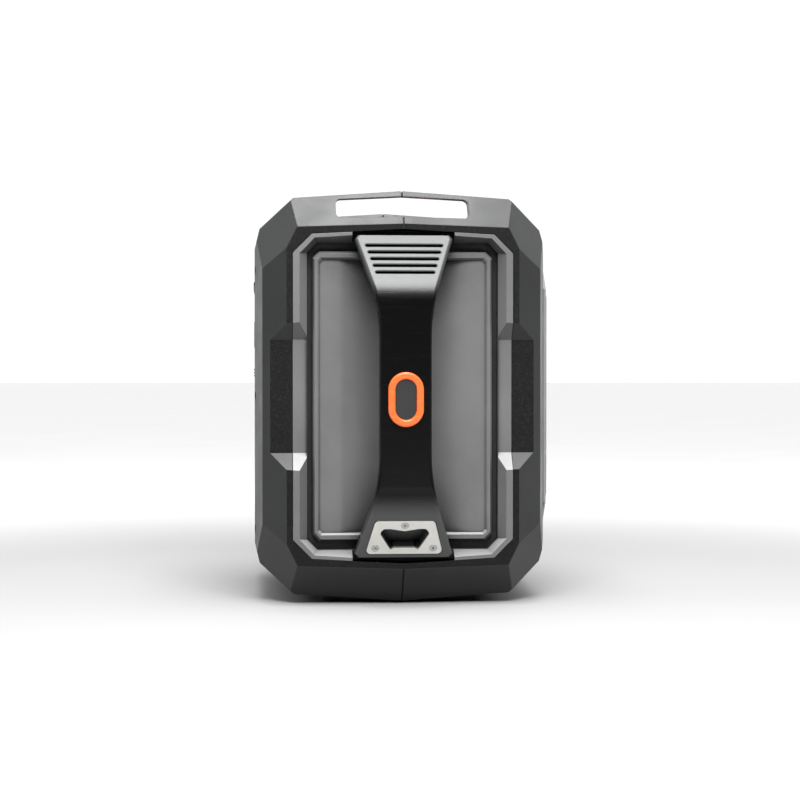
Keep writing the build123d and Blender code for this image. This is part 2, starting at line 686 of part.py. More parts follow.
def grip_grooves():
    """Grooves across the upper sloping face, each as wide as the flare allows."""
    half_slope = BAR_BEND_DROP / cos(BAR_SLOPE) / 2
    cuts = []
    for i in range(GRIP_GROOVES):
        drop = GROOVE_FIRST_DROP + i * GROOVE_PITCH
        half_y = BAR_END_HALF_Y - BAR_FLARE * drop - GROOVE_EDGE
        place = slope_plane(True) * Pos(0, half_slope - drop / cos(BAR_SLOPE))
        slot = place * SlotOverall(2 * half_y, GROOVE_H)
        lip = place * SlotOverall(2 * (half_y + GROOVE_LIP), GROOVE_H + 2 * GROOVE_LIP)
        cuts.append(extrude(slot, amount=-GROOVE_DEPTH))
        cuts.append(extrude(lip, amount=-GROOVE_LIP, taper=45))
    return cuts


def ring_face(half, grow=0.0):
    slot = SlotOverall(2 * (half[1] + grow), 2 * (half[0] + grow), rotation=90)
    return Pos(0, RING_REL_Z) * slot


def ring_inner():
    return (RING_HALF[0] - RING_WIDTH, RING_HALF[1] - RING_WIDTH)


def opener_plane():
    """Plane at the opener plate's centre, on the lower sloping face."""
    slope = slope_plane(False)
    half_slope = BAR_BEND_DROP / cos(BAR_SLOPE) / 2
    centre = slope.from_local_coords((0, -half_slope + OPENER_LOW_GAP + OPENER_H / 2, 0))
    return Plane(origin=centre, x_dir=slope.x_dir, z_dir=slope.z_dir)


def opener_outline(grow):
    top, low, high = OPENER_TOP_W / 2 + grow, OPENER_LOW_W / 2 + grow, OPENER_H / 2 + grow
    face = Polygon((-low, -high), (low, -high), (top, high), (-top, high), align=None)
    return fillet(face.vertices(), OPENER_R)


def opener_mouth(grow):
    """Bottle mouth with a tooth in its lower edge and a dip in its upper edge."""
    half = OPENER_MOUTH
    face = Polygon(*(half + [(-x, y) for x, y in reversed(half[1:])]), align=None)
    face = fillet([v for v in face.vertices() if v.Y > -5], OPENER_MOUTH_R)
    return offset(face, grow) if grow else face


def opener_screw_places():
    side, low = OPENER_LOW_SCREW
    low_pair = [(s * (OPENER_LOW_W / 2 - side), low - OPENER_H / 2) for s in (1, -1)]
    return [(0, OPENER_H / 2 - OPENER_TOP_SCREW)] + low_pair


def opener_plate():
    plate = raised(opener_outline(0), opener_plane(), -OPENER_T, OPENER_PROUD)
    plate -= raised(opener_mouth(0), opener_plane(), -OPENER_T - 1, OPENER_PROUD + 1)
    for screw in opener_screws_raw(SCREW_GRIP):
        plate -= screw
    return plate


def opener_screws_raw(grow):
    """Countersunk screws in the plate's plane, or their holes when grown."""
    top = OPENER_PROUD
    screws = []
    for u, v in opener_screw_places():
        place = opener_plane() * Pos(u, v, 0)
        head = Cone(SCREW_SHANK_R + grow, SCREW_HEAD_R + grow, COUNTERSINK)
        shank = Cylinder(SCREW_SHANK_R + grow, OPENER_SCREW_LEN)
        head = place * Pos(0, 0, top - COUNTERSINK / 2) * head
        shank = place * Pos(0, 0, top - 2 - OPENER_SCREW_LEN / 2) * shank
        screws.append(head + shank)
    return screws


def opener_screws():
    screws = []
    for screw, (u, v) in zip(opener_screws_raw(0), opener_screw_places()):
        hexagon = Pos(u, v) * RegularPolygon(SCREW_SOCKET_R, 6)
        screws.append(screw - raised(hexagon, opener_plane(), -1, 4))
    return group(screws)


def grab_bar(with_opener):
    """The +X grab bar, with the opener's seat in its lower end where it has one."""
    bar = bar_body(0)
    bar = fillet(bar_long_edges(bar), BAR_EDGE_R)
    for groove in grip_grooves():
        bar -= groove
    bar -= along_x(ring_face(RING_HALF, RING_FIT), BAR_FACE_X - RING_SINK, LOOSE)
    for hole in bar_screw_holes(SCREW_SHANK_R + SCREW_GRIP):
        bar -= hole
    if with_opener:
        bar -= raised(opener_outline(OPENER_FIT), opener_plane(), -OPENER_T, 9)
        bar -= raised(opener_mouth(1.0), opener_plane(), -OPENER_WELL, 9)
        for screw in opener_screws_raw(SCREW_GRIP):
            bar -= screw
    return bar


def bar_long_edges(bar):
    """Edges between the bar's outer face and its flanks."""
    def off_face(edge):
        middle = edge.center()
        fall = max(0.0, abs(middle.Z - MID_Z) - BAR_BEND_REL) * tan(BAR_SLOPE)
        return abs(middle.X - (BAR_FACE_X - fall))
    return [e for e in bar.edges() if off_face(e) < 2 and abs(e.center().Y) > BAR_HALF_Y - 1]


def badge_ring():
    band = ring_face(RING_HALF) - ring_face(ring_inner())
    ring = along_x(band, BAR_FACE_X - RING_SINK, BAR_FACE_X + RING_HIGH)
    top = [e for e in ring.edges() if e.center().X > BAR_FACE_X + RING_HIGH - 0.1]
    return fillet(top, RING_ROUND)


def badge_insert():
    face = ring_face(ring_inner(), -RING_FIT)
    return along_x(face, BAR_FACE_X - RING_SINK, BAR_FACE_X + 1.0)


# ---------------------------------------------------------------- feet

def foot_rail():
    """Rubber rail cut to the shape of the housing's underside."""
    x0, x1 = FOOT_X - FOOT_W / 2, FOOT_X + FOOT_W / 2
    rail = box(x0, x1, -FOOT_HALF_Y, FOOT_HALF_Y, -MID_Z, -MID_Z + 20)
    rail = fillet(rail.edges().filter_by(Axis.Z), FOOT_R)
    rail = chamfer(rail.faces().sort_by(Axis.Z)[0].edges(), FOOT_BEVEL)
    rail -= faceted(0)
    for y in (-FOOT_SCREW_Y, FOOT_SCREW_Y):
        rail -= foot_screw(FOOT_X, y, HOLE_PLAY)
    return rail


def foot_screw(x, y, grow):
    head_low = -MID_Z + FOOT_HEAD_SINK
    head = rod_z(SCREW_HEAD_R + grow, head_low - grow * 30, head_low + 2, x, y)
    return head + rod_z(SCREW_SHANK_R + grow, head_low, head_low + FOOT_SCREW_LEN, x, y)


def foot_screw_holes():
    radius, high = SCREW_SHANK_R + HOLE_PLAY, FOOT_SCREW_LEN + 3 - MID_Z
    return [rod_z(radius, -MID_Z, high, sx * FOOT_X, sy * FOOT_SCREW_Y)
            for sx, sy in product((1, -1), repeat=2)]


def foot_screws():
    return group([foot_screw(sx * FOOT_X, sy * FOOT_SCREW_Y, 0)
                  for sx, sy in product((1, -1), repeat=2)])


# ---------------------------------------------------------------- front

def grille_outline(y, margin):
    """Eight-sided front opening drawn in by a margin."""
    x, z = GRILLE_HALF[0] - margin, GRILLE_HALF[1] - margin
    c = GRILLE_CHAMFER - margin * OCTAGON_INSET
    pts = [(x - c, z), (x, z - c), (x, c - z), (x - c, -z)]
    return front_plane(y) * Polygon(*(pts + [(-a, b) for a, b in reversed(pts)]), align=None)


def front_slab(y0, y1, margin):
    """Plate of the front outline between two depths, y0 in front of y1."""
    return extrude(grille_outline(y0, margin), amount=y1 - y0, dir=(0, 1, 0))


WALL_BACK_Y = -(HALF_D - WALL)
BAFFLE_Y = WALL_BACK_Y + BAFFLE_SET_BACK          # the baffle's front face
FLANGE_Y = BAFFLE_Y - FLANGE_T


def baffle():
    rim = front_slab(WALL_BACK_Y, BAFFLE_Y, -BAFFLE_LAP) - front_slab(WALL_BACK_Y - 1, BAFFLE_Y + 1, 4)
    plate = front_slab(BAFFLE_Y, BAFFLE_Y + BAFFLE_T, -BAFFLE_LAP)
    plate -= rod_y(WOOFER_BORE_R + 1, BAFFLE_Y - 5, BAFFLE_Y + 20, 0, WOOFER_REL_Z)
    plate -= rod_y(TWEETER_BORE_R, BAFFLE_Y - 5, BAFFLE_Y + 20, 0, TWEETER_REL_Z)
    body = rim + plate
    for x, z in post_places():
        body -= rod_y(POST_R + BEZEL_FIT, -HALF_D, 0, x, z)
    for x, z in driver_screw_places():
        body -= rod_y(SCREW_SHANK_R + HOLE_PLAY, BAFFLE_Y - 1, BAFFLE_Y + 20, x, z)
    return body & faceted(WALL)


def grille_bezel():
    """Frame round the grille, with a ledge behind the grille's skirt."""
    width, thick = GRILLE_LEDGE
    ring = front_slab(-HALF_D - BEZEL_PROUD, WALL_BACK_Y, BEZEL_FIT)
    ring = chamfer(ring.faces().sort_by(Axis.Y)[0].edges(), BEZEL_BEVEL)
    ring -= front_slab(-HALF_D - BEZEL_PROUD - 1, WALL_BACK_Y - thick, BEZEL_W)
    return ring - front_slab(-HALF_D, WALL_BACK_Y + 1, BEZEL_W + width)


def grille():
    """Raised pan with sloping edges. Its perforation is left to the finish."""
    base, margin = -HALF_D, BEZEL_W + BEZEL_FIT
    top = base - GRILLE_RISE
    outer = loft([grille_outline(base, margin), grille_outline(top, margin + GRILLE_SLOPE_W)],
                 ruled=True)
    inner = loft([grille_outline(base, margin + GRILLE_T),
                  grille_outline(top + GRILLE_T, margin + GRILLE_SLOPE_W + GRILLE_T * 0.4)],
                 ruled=True)
    foot = WALL_BACK_Y - GRILLE_LEDGE[1]
    skirt = front_slab(base, foot, margin)
    return (outer - inner) + (skirt - front_slab(base - 1, foot + 1, margin + GRILLE_T))


def driver_screw_places():
    reach, small = WOOFER_R - DRIVER_SCREW_IN[0], TWEETER_R - DRIVER_SCREW_IN[1]
    woofer = [(reach * cos(a), WOOFER_REL_Z + reach * sin(a))
              for a in (pi / 6 + i * pi / 3 for i in range(6))]
    tweeter = [(small * cos(a), TWEETER_REL_Z + small * sin(a))
               for a in (pi / 4 + i * pi / 2 for i in range(4))]
    return woofer + tweeter


def driver_screws():
    head = 2.0
    return group([rod_y(SCREW_SHANK_R, FLANGE_Y, BAFFLE_Y + BAFFLE_T + 2, x, z)
                  + rod_y(DRIVER_HEAD_R, FLANGE_Y - head, FLANGE_Y, x, z)
                  - rod_y(SCREW_SOCKET_R, FLANGE_Y - head - 1, FLANGE_Y - head + 1, x, z)
                  for x, z in driver_screw_places()])


# Woofer radii and depths behind its flange face
ROLL_R = 4.0
ROLL_MID_R = 64.0
COIL_R = 19.8
COIL_T = 0.8
GAP = 0.8
BASKET_DEPTH = 44.0
NECK_R = 40.0             # basket at its back
SPIDER_SEAT = 5.4         # basket back to the spider's seat
WINDOW = (26.0, 22.0, 60.0)   # openings in the basket
WINDOW_MID_R = 56.0
TOP_PLATE_T = 5.0
MAGNET_R = 45.0
MAGNET_T = 15.0
BACK_PLATE = (42.0, 6.0)
LIP = (4.6, 1.0)          # surround's lips: width and thickness
CONE_DEPTH = 25.0
CAP_R = 25.0
CAP_BALL_R = 32.0
CAP_T = 0.8
SPIDER_T = 0.6


def woofer_frame():
    """Flange, slotted conical basket and seat ring for the spider."""
    rear_y, flange_back = FLANGE_Y + BASKET_DEPTH, FLANGE_Y + FLANGE_T
    inner, neck = ROLL_MID_R + ROLL_R, NECK_R
    frame = spun_y([(inner, FLANGE_Y), (WOOFER_R, FLANGE_Y), (WOOFER_R, flange_back),
                    (inner + 3, flange_back), (neck + 3, rear_y), (neck + 3, rear_y + 4),
                    (COIL_R + 3, rear_y + 4), (COIL_R + 3, rear_y), (neck - 4, rear_y),
                    (neck - 4, rear_y - SPIDER_SEAT), (neck, rear_y - SPIDER_SEAT),
                    (neck, rear_y - 1), (inner, flange_back - 1)], 0, WOOFER_REL_Z)
    middle = Pos(0, (flange_back + rear_y) / 2, MID_Z + WOOFER_REL_Z)
    for i in range(6):
        frame -= middle * Rot(0, 60 * i, 0) * Pos(0, 0, WINDOW_MID_R) * Box(*WINDOW)
    for x, z in driver_screw_places()[:6]:
        frame -= rod_y(SCREW_SHANK_R + HOLE_PLAY, FLANGE_Y - 1, flange_back + 1, x, z)
    return frame


def woofer_magnet():
    """Top plate, ring magnet, back plate and pole piece, fixed behind the basket."""
    front = FLANGE_Y + BASKET_DEPTH + 4
    plate_back = front + TOP_PLATE_T
    magnet_back = plate_back + MAGNET_T
    gap_r, pole_r = COIL_R + GAP, COIL_R - COIL_T - GAP
    back_r, back_t = BACK_PLATE
    return spun_y([(gap_r, front), (NECK_R, front), (NECK_R, plate_back), (MAGNET_R, plate_back),
                   (MAGNET_R, magnet_back), (back_r, magnet_back), (back_r, magnet_back + back_t),
                   (0, magnet_back + back_t), (0, front), (pole_r, front), (pole_r, magnet_back),
                   (gap_r + 2, magnet_back), (gap_r + 2, plate_back), (gap_r, plate_back)],
                  0, WOOFER_REL_Z)


def woofer_surround():
    """Rubber half roll with a lip on the flange and a lip on the cone."""
    roll = Pos(ROLL_MID_R, FLANGE_Y) * (Circle(ROLL_R) - Circle(ROLL_R - 1))
    roll &= Pos(ROLL_MID_R, FLANGE_Y - 10) * Rectangle(40, 20)
    reach = ROLL_R + LIP[0] / 2 - 0.8
    lips = [Pos(ROLL_MID_R + side * reach, FLANGE_Y - LIP[1] / 2) * Rectangle(*LIP) for side in (1, -1)]
    lips = lips[0] + lips[1]
    return Pos(0, 0, MID_Z + WOOFER_REL_Z) * revolve(roll + lips, Axis.Y)


def woofer_cone():
    rim = ROLL_MID_R - ROLL_R
    neck_y = FLANGE_Y + CONE_DEPTH
    return spun_y([(rim - 3, FLANGE_Y), (rim, FLANGE_Y), (rim, FLANGE_Y + 1.2),
                   (COIL_R + 1.4, neck_y + 1.6), (COIL_R, neck_y + 1.6), (COIL_R, neck_y),
                   (rim - 3.4, FLANGE_Y + 1.0)], 0, WOOFER_REL_Z)


def woofer_dust_cap():
    """Domed cap, trimmed to sit on the cone."""
    base = FLANGE_Y + CONE_DEPTH + 1
    centre = Pos(0, base + 18, MID_Z + WOOFER_REL_Z)
    dome = centre * Sphere(CAP_BALL_R) - centre * Sphere(CAP_BALL_R - CAP_T)
    dome &= rod_y(CAP_R, base - CAP_BALL_R, base, 0, WOOFER_REL_Z)
    solid_cone = spun_y([(0, base + 2), (COIL_R, base), (ROLL_MID_R, FLANGE_Y - 2), (ROLL_MID_R, base + 9),
                         (0, base + 9)], 0, WOOFER_REL_Z)
    return (dome - solid_cone) - woofer_cone()


def woofer_voice_coil():
    y0 = FLANGE_Y + CONE_DEPTH
    return ring_y(COIL_R, COIL_R - COIL_T, y0, FLANGE_Y + BASKET_DEPTH + 8, 0, WOOFER_REL_Z)


def woofer_spider():
    """Flat corrugated disc between coil and basket."""
    y = FLANGE_Y + BASKET_DEPTH - SPIDER_SEAT
    return ring_y(NECK_R - 0.5, COIL_R, y - SPIDER_T, y, 0, WOOFER_REL_Z)


HORN_MOUTH_R = 28.0
HORN_THROAT_R = 13.0
HORN_DEPTH = 20.0
HORN_BACK_T = 2.5
DOME_BALL_R = 14.5
DOME_T = 0.4
TWEETER_MAGNET = ((24.0, 14.0), (20.0, 4.0))   # radius and thickness of its two discs


def tweeter_horn():
    y1, y2 = FLANGE_Y + FLANGE_T, FLANGE_Y + HORN_DEPTH
    horn = spun_y([(HORN_MOUTH_R, FLANGE_Y), (TWEETER_R, FLANGE_Y), (TWEETER_R, y1),
                   (HORN_MOUTH_R - 1, y1), (HORN_THROAT_R + 2.5, y2), (HORN_THROAT_R + 9, y2),
                   (HORN_THROAT_R + 9, y2 + HORN_BACK_T), (HORN_THROAT_R, y2 + HORN_BACK_T),
                   (HORN_THROAT_R, y2 - 2)],
                  0, TWEETER_REL_Z)
    for x, z in driver_screw_places()[6:]:
        horn -= rod_y(SCREW_SHANK_R + HOLE_PLAY, FLANGE_Y - 1, y1 + 1, x, z)
    return horn


def tweeter_dome():
    y = FLANGE_Y + HORN_DEPTH + HORN_BACK_T
    dome = Pos(0, y + 9, MID_Z + TWEETER_REL_Z) * (Sphere(DOME_BALL_R) - Sphere(DOME_BALL_R - DOME_T))
    return dome & rod_y(HORN_THROAT_R - 0.6, y - 20, y, 0, TWEETER_REL_Z)


def tweeter_magnet():
    y = FLANGE_Y + HORN_DEPTH + HORN_BACK_T
    (r1, t1), (r2, t2) = TWEETER_MAGNET
    return rod_y(r1, y, y + t1, 0, TWEETER_REL_Z) + rod_y(r2, y + t1, y + t1 + t2, 0, TWEETER_REL_Z)


# ---------------------------------------------------------------- deck

BUTTONS = {
    "power_button": (-76.0, 10.5),
    "source_button": (-42.0, 8.5),
    "volume_down_button": (-14.0, 8.5),
    "play_button": (14.0, 8.5),
    "volume_up_button": (42.0, 8.5),
    "boost_button": (76.0, 10.5),
}
GAUGE = (0.0, -10.0, 64.0, 9.0)       # x, y, length, width
MAT = (0.0, 32.0, 150.0, 54.0)
MAT_SINK = 1.5
MAT_R = 6.0
MAT_PLAY = 0.2
MAT_RIBS = 7
MAT_RIB = (7.0, 1.2, 0.8)             # pitch, half width, height
DECK_CORNER_R = 9.0
DECK_SCREW_IN = 3.4
DECK_SCREW_R = 1.45
DECK_HEAD = (2.7, 1.4)                # radius, height
BUTTON_ROUND = 0.9
BUTTON_FLANGE = (1.6, 1.2)            # width, thickness
GAUGE_PLAY = 0.15
GAUGE_LAMPS = 5
GAUGE_LAMP_PITCH = 12.0
GAUGE_LAMP = (2.5, 1.5, 1.5)          # half length, half width, height
BOARD_HALF_Y = 22.0
BOARD_MID_Y = -24.0
BOARD_T = 1.6
SWITCH = (3.0, 3.0)                   # half width, height
STANDOFF = (2.5, 88.0, -18.0)         # radius, x and y


def rounded_plate(half_x, half_y, radius, low, high, x=0.0, y=0.0):
    """Level plate with round corners, with heights from mid-height."""
    plane = Plane(origin=(x, y, MID_Z + low))
    sketch = plane * RectangleRounded(2 * half_x, 2 * half_y, radius)
    return extrude(sketch, amount=high - low, dir=(0, 0, 1))


def deck_screw_places():
    x, y = DECK_OPEN[0] + DECK_SCREW_IN, DECK_OPEN[1] + DECK_SCREW_IN
    return [(sx * x, sy * y) for sx, sy in product((1, -1), repeat=2)]


def deck_screw_holes(depth):
    radius = DECK_SCREW_R + SCREW_GRIP
    return [rod_z(radius, DECK_REL - depth, DECK_REL + 9, x, y) for x, y in deck_screw_places()]


def deck_panel():
    """Control panel that laps over the deck opening, with a plug that centres it."""
    lap = rounded_plate(DECK_OPEN[0] + DECK_LAP, DECK_OPEN[1] + DECK_LAP, DECK_CORNER_R,
                        DECK_REL, DECK_REL + DECK_T)
    lap = chamfer(lap.faces().sort_by(Axis.Z)[-1].edges(), 1.0)
    plug = box(-DECK_OPEN[0] + BEZEL_FIT, DECK_OPEN[0] - BEZEL_FIT,
               -DECK_OPEN[1] + BEZEL_FIT, DECK_OPEN[1] - BEZEL_FIT, DECK_REL - 3, DECK_REL)
    panel = lap + plug
    for x, radius in BUTTONS.values():
        panel -= rod_z(radius + BUTTON_PLAY, DECK_REL - 9, DECK_REL + 9, x, BUTTON_Y)
    x, y, length, width = GAUGE
    panel -= rounded_plate(length / 2, width / 2, width / 2 - 0.1, DECK_REL - 9, DECK_REL + 9, x, y)
    x, y, length, width = MAT
    panel -= rounded_plate(length / 2, width / 2, MAT_R, DECK_REL + DECK_T - MAT_SINK, DECK_REL + 9, x, y)
    for hole in deck_screw_holes(1):
        panel -= hole
    return panel


def deck_mat():
    """Ribbed rubber mat that keeps a phone from sliding."""
    x, y, length, width = MAT
    low = DECK_REL + DECK_T - MAT_SINK
    top = low + MAT_SINK + 0.5
    pitch, half_rib, rib_high = MAT_RIB
    mat = rounded_plate(length / 2 - MAT_PLAY, width / 2 - MAT_PLAY, MAT_R - MAT_PLAY, low, top, x, y)
    for i in range(MAT_RIBS):
        rib_y = y + (i - MAT_RIBS // 2) * pitch
        mat += rounded_plate(length / 2 - 8, half_rib, half_rib - 0.1, top, top + rib_high, x, rib_y)
    return mat


def deck_screws():
    low = DECK_REL + DECK_T
    head_r, head_h = DECK_HEAD
    return group([rod_z(DECK_SCREW_R, DECK_REL - 6, low, x, y) + rod_z(head_r, low, low + head_h, x, y)
                  for x, y in deck_screw_places()])


def button(name):
    """Cap with a stop flange under the panel."""
    x, radius = BUTTONS[name]
    width, thick = BUTTON_FLANGE
    flange_top, high = DECK_REL - 3.4, DECK_REL + DECK_T + BUTTON_PROUD
    cap = rod_z(radius, flange_top, high, x, BUTTON_Y)
    cap = fillet(cap.faces().sort_by(Axis.Z)[-1].edges(), BUTTON_ROUND)
    return cap + rod_z(radius + width, flange_top - thick, flange_top, x, BUTTON_Y)


def gauge_window():
    x, y, length, width = GAUGE
    return rounded_plate(length / 2 - GAUGE_PLAY, width / 2 - GAUGE_PLAY, width / 2 - 2 * GAUGE_PLAY,
                         DECK_REL - 2, DECK_REL + DECK_T - 0.2, x, y)


def button_board():
    """Circuit board under the deck, with a switch below each button and a row of lamps."""
    top = DECK_REL - BUTTON_BOARD_DROP
    board = rounded_plate(DECK_OPEN[0] - 3, BOARD_HALF_Y, 2, top - BOARD_T, top, 0, BOARD_MID_Y)
    half, high = SWITCH
    for x, _ in BUTTONS.values():
        board += box(x - half, x + half, BUTTON_Y - half, BUTTON_Y + half, top, top + high)
    half_x, half_y, high = GAUGE_LAMP
    for i in range(GAUGE_LAMPS):
        x, y = GAUGE[0] + (i - GAUGE_LAMPS // 2) * GAUGE_LAMP_PITCH, GAUGE[1]
        board += box(x - half_x, x + half_x, y - half_y, y + half_y, top, top + high)
    radius, x, y = STANDOFF
    for sign in (1, -1):
        board += rod_z(radius, top, DECK_REL - 3, sign * x, y)
    return board


# ---------------------------------------------------------------- service bay

TUB_FLOOR_Y = HALF_D - DOOR_RECESS - WALL - BAY_DEPTH
SOCKET_REL_Z = (BAY_LOW + BAY_HIGH) / 2
RECESS_Y = HALF_D - DOOR_RECESS
HINGE_REL_Z = BAY_HIGH + HINGE_RISE
HINGE_Y = RECESS_Y + 2.5
TUB_LIP = 4.0
TUB_LIP_T = 2.0
PILLAR = (3.5, 70.0, 28.0)                    # radius, x, and z about the sockets
SOCKET_WALL = 1.7
SOCKET_FLANGE = (5.0, 2.0)                    # width, thickness
JUMP = (-65.0, -31.0, 11.0, 16.0)             # two sides, half height, depth
JUMP_CONTACTS = (-56.0, -40.0)
JUMP_R = 4.0
JUMP_WELL_R = 4.5
JUMP_PIN_R = 2.0
USB = (28.0, 43.0, 3.6, 6.0)                  # two sides, half height, depth
USB_WALL = 1.2
USB_PITCH = 20.0
USB_TONGUE = (30.5, 40.5, -1.6, 0.2)
INLET = (60.0, 7.0, 3.2, 1.1, 8.0)            # x, outer, bore and pin radii, depth
KNUCKLES = ((-62, -38), (-12, 12), (38, 62))
LUGS = ((-78, -63), (-37, -13), (13, 37), (63, 78))
PIN_HALF = 78.0


def service_tub():
    """Closed tub behind the door, with pillars for the main board."""
    rim_y = RECESS_Y - WALL
    x = BAY_HALF_X
    tub = box(-x - TUB_LIP, x + TUB_LIP, rim_y - TUB_LIP_T, rim_y, BAY_LOW - TUB_LIP, BAY_HIGH + TUB_LIP)
    tub += box(-x, x, TUB_FLOOR_Y, rim_y, BAY_LOW, BAY_HIGH)
    tub -= box(-x + TUB_WALL, x - TUB_WALL, TUB_FLOOR_Y + TUB_WALL, rim_y + 1,
               BAY_LOW + TUB_WALL, BAY_HIGH - TUB_WALL)
    for px, pz in board_pillars():
        tub += rod_y(PILLAR[0], BOARD_Y + BOARD_T, TUB_FLOOR_Y, px, pz)
    tub -= rod_y(ACCESSORY_BORE_R + 2.0, TUB_FLOOR_Y - 1, TUB_FLOOR_Y + TUB_WALL + 1, 0, SOCKET_REL_Z)
    return tub


def accessory_socket():
    """Car accessory socket: a plain metal-lined bore behind a flange."""
    face = TUB_FLOOR_Y + TUB_WALL
    width, thick = SOCKET_FLANGE
    mouth = face + thick
    barrel = rod_y(ACCESSORY_BORE_R + SOCKET_WALL, mouth - ACCESSORY_DEPTH - 3, mouth, 0, SOCKET_REL_Z)
    barrel += rod_y(ACCESSORY_BORE_R + width, face, mouth, 0, SOCKET_REL_Z)
    return barrel - rod_y(ACCESSORY_BORE_R, mouth - ACCESSORY_DEPTH, mouth + 9, 0, SOCKET_REL_Z)


def jump_socket():
    """High-current socket with two contacts and a keyed side."""
    face = TUB_FLOOR_Y + TUB_WALL
    x0, x1, half, depth = JUMP
    block = box(x0, x1, face, face + depth, SOCKET_REL_Z - half, SOCKET_REL_Z + half)
    block = fillet(block.edges().filter_by(Axis.Y), JUMP_R)
    block = chamfer(block.faces().sort_by(Axis.Y)[-1].edges(), 1.0)
    for x in JUMP_CONTACTS:
        block -= rod_y(JUMP_WELL_R, face + 3, face + depth + 4, x, SOCKET_REL_Z)
        block += rod_y(JUMP_PIN_R, face + 2, face + depth - 3, x, SOCKET_REL_Z)
    return block


def usb_sockets():
    face = TUB_FLOOR_Y + TUB_WALL
    x0, x1, half, depth = USB
    inner, wall = half - USB_WALL, USB_WALL
    t0, t1, low, high = USB_TONGUE
    sockets = []
    for z in (SOCKET_REL_Z - USB_PITCH / 2, SOCKET_REL_Z + USB_PITCH / 2):
        shell = box(x0, x1, face, face + depth, z - half, z + half)
        shell -= box(x0 + wall, x1 - wall, face + 1, face + 9, z - inner, z + inner)
        sockets.append(shell + box(t0, t1, face + 0.5, face + depth - 1, z + low, z + high))
    return group(sockets)


def charge_inlet():
    face = TUB_FLOOR_Y + TUB_WALL
    x, outer, bore, pin, depth = INLET
    body = rod_y(outer, face, face + depth, x, SOCKET_REL_Z)
    body -= rod_y(bore, face + 1, face + depth + 1, x, SOCKET_REL_Z)
    return body + rod_y(pin, face + 0.5, face + depth - 1, x, SOCKET_REL_Z)


def service_door():
    """Flat door with hinge knuckles at its upper edge."""
    x = BAY_HALF_X + DOOR_MARGIN - DOOR_FIT
    low, high = BAY_LOW - DOOR_MARGIN + DOOR_FIT, HINGE_REL_Z - KNUCKLE_R - 0.5
    inner = HALF_D - DOOR_T
    door = box(-x, x, inner, HALF_D, low, high)
    door = fillet(door.edges().filter_by(Axis.Y).sort_by(Axis.Z)[:2], DOOR_CORNER_R)
    door = chamfer(door.faces().sort_by(Axis.Y)[-1].edges(), DOOR_BEVEL)
    for x0, x1 in KNUCKLES:
        door += rod_x(KNUCKLE_R, x0, x1, HINGE_Y, HINGE_REL_Z)
        door += box(x0, x1, inner, HINGE_Y + KNUCKLE_R - 0.6, high - 1, HINGE_REL_Z)
    return door - rod_x(PIN_R + PIN_PLAY, -PIN_HALF, PIN_HALF, HINGE_Y, HINGE_REL_Z)


def door_pin():
    """Steel hinge pin, held at both ends in lugs of the rear shell."""
    return rod_x(PIN_R, -PIN_HALF, PIN_HALF, HINGE_Y, HINGE_REL_Z)


def hinge_lugs():
    """Lugs of the rear shell that carry the pin between the door's knuckles."""
    floor = RECESS_Y - 1
    lugs = []
    for x0, x1 in LUGS:
        lug = rod_x(KNUCKLE_R, x0, x1, HINGE_Y, HINGE_REL_Z)
        lug += box(x0, x1, floor, HINGE_Y, HINGE_REL_Z - KNUCKLE_R, HINGE_REL_Z + KNUCKLE_R)
        lugs.append(lug - rod_x(PIN_R, -PIN_HALF, PIN_HALF, HINGE_Y, HINGE_REL_Z))
    return lugs


def door_seal():
    """Rubber ring round the bay's mouth."""
    x, low, high = BAY_HALF_X + 4, BAY_LOW - 4, BAY_HIGH + 2
    ring = box(-x, x, RECESS_Y, RECESS_Y + 0.5, low, high)
    return ring - box(-BAY_HALF_X - 1, BAY_HALF_X + 1, RECESS_Y - 1, RECESS_Y + 1, BAY_LOW - 1, BAY_HIGH)


# ---------------------------------------------------------------- battery and boards

BOARD_Y = 44.0
CASE_HALF_X = CELL_LEN + 3 + CASE_WALL
CASE_HALF = 1.5 * CELL_PITCH + 0.5 + CASE_WALL
CASE_LOW = -HALF_H + BATTERY_FLOOR_DROP + TRAY_PLATE_T
CASE_MID = CASE_LOW + CASE_HALF
TRAY_LIP = 8.0
LEG_R = 6.0
CELL_GAP = 1.5            # middle of the case to each cell's end
STUD = ((7.0, 2.0), (3.0, 8.0))   # radius and height of a stud's base and post
STRAP_HALF_X = 10.0
STRAP_T = 1.2
STRAP_FOOT = 4.0
MAIN_BOARD = (82.0, -50.0, 36.0)          # half width, low and high about the sockets
CAPACITORS = (6.3, 22.0, 30.0, 16.0, 20.0)    # radius, height, first x, pitch, z
TERMINAL_BLOCK = (-70.0, -40.0, 12.0, 12.0, 28.0)   # two sides, depth, low, high
SINK = (-30.0, 22.0, -44.0, 4.0)          # sides, low, high
SINK_BASE_T = 5.0
SINK_DEPTH = 24.0
FINS = 9
FIN_T = 2.0
RELAY = (36.0, 66.0, -40.0, -8.0, 26.0)   # sides, low, high, depth
RELAY_STUDS = (43.0, 59.0)
RELAY_STUD = (2.5, 8.0)                   # radius, length
RELAY_MID = -24.0
LEAD_R = 2.6
LEAD_BEND_R = 5.0


def board_pillars():
    _, x, z = PILLAR
    return [(sx * x, SOCKET_REL_Z + sz * z) for sx, sz in product((1, -1), repeat=2)]


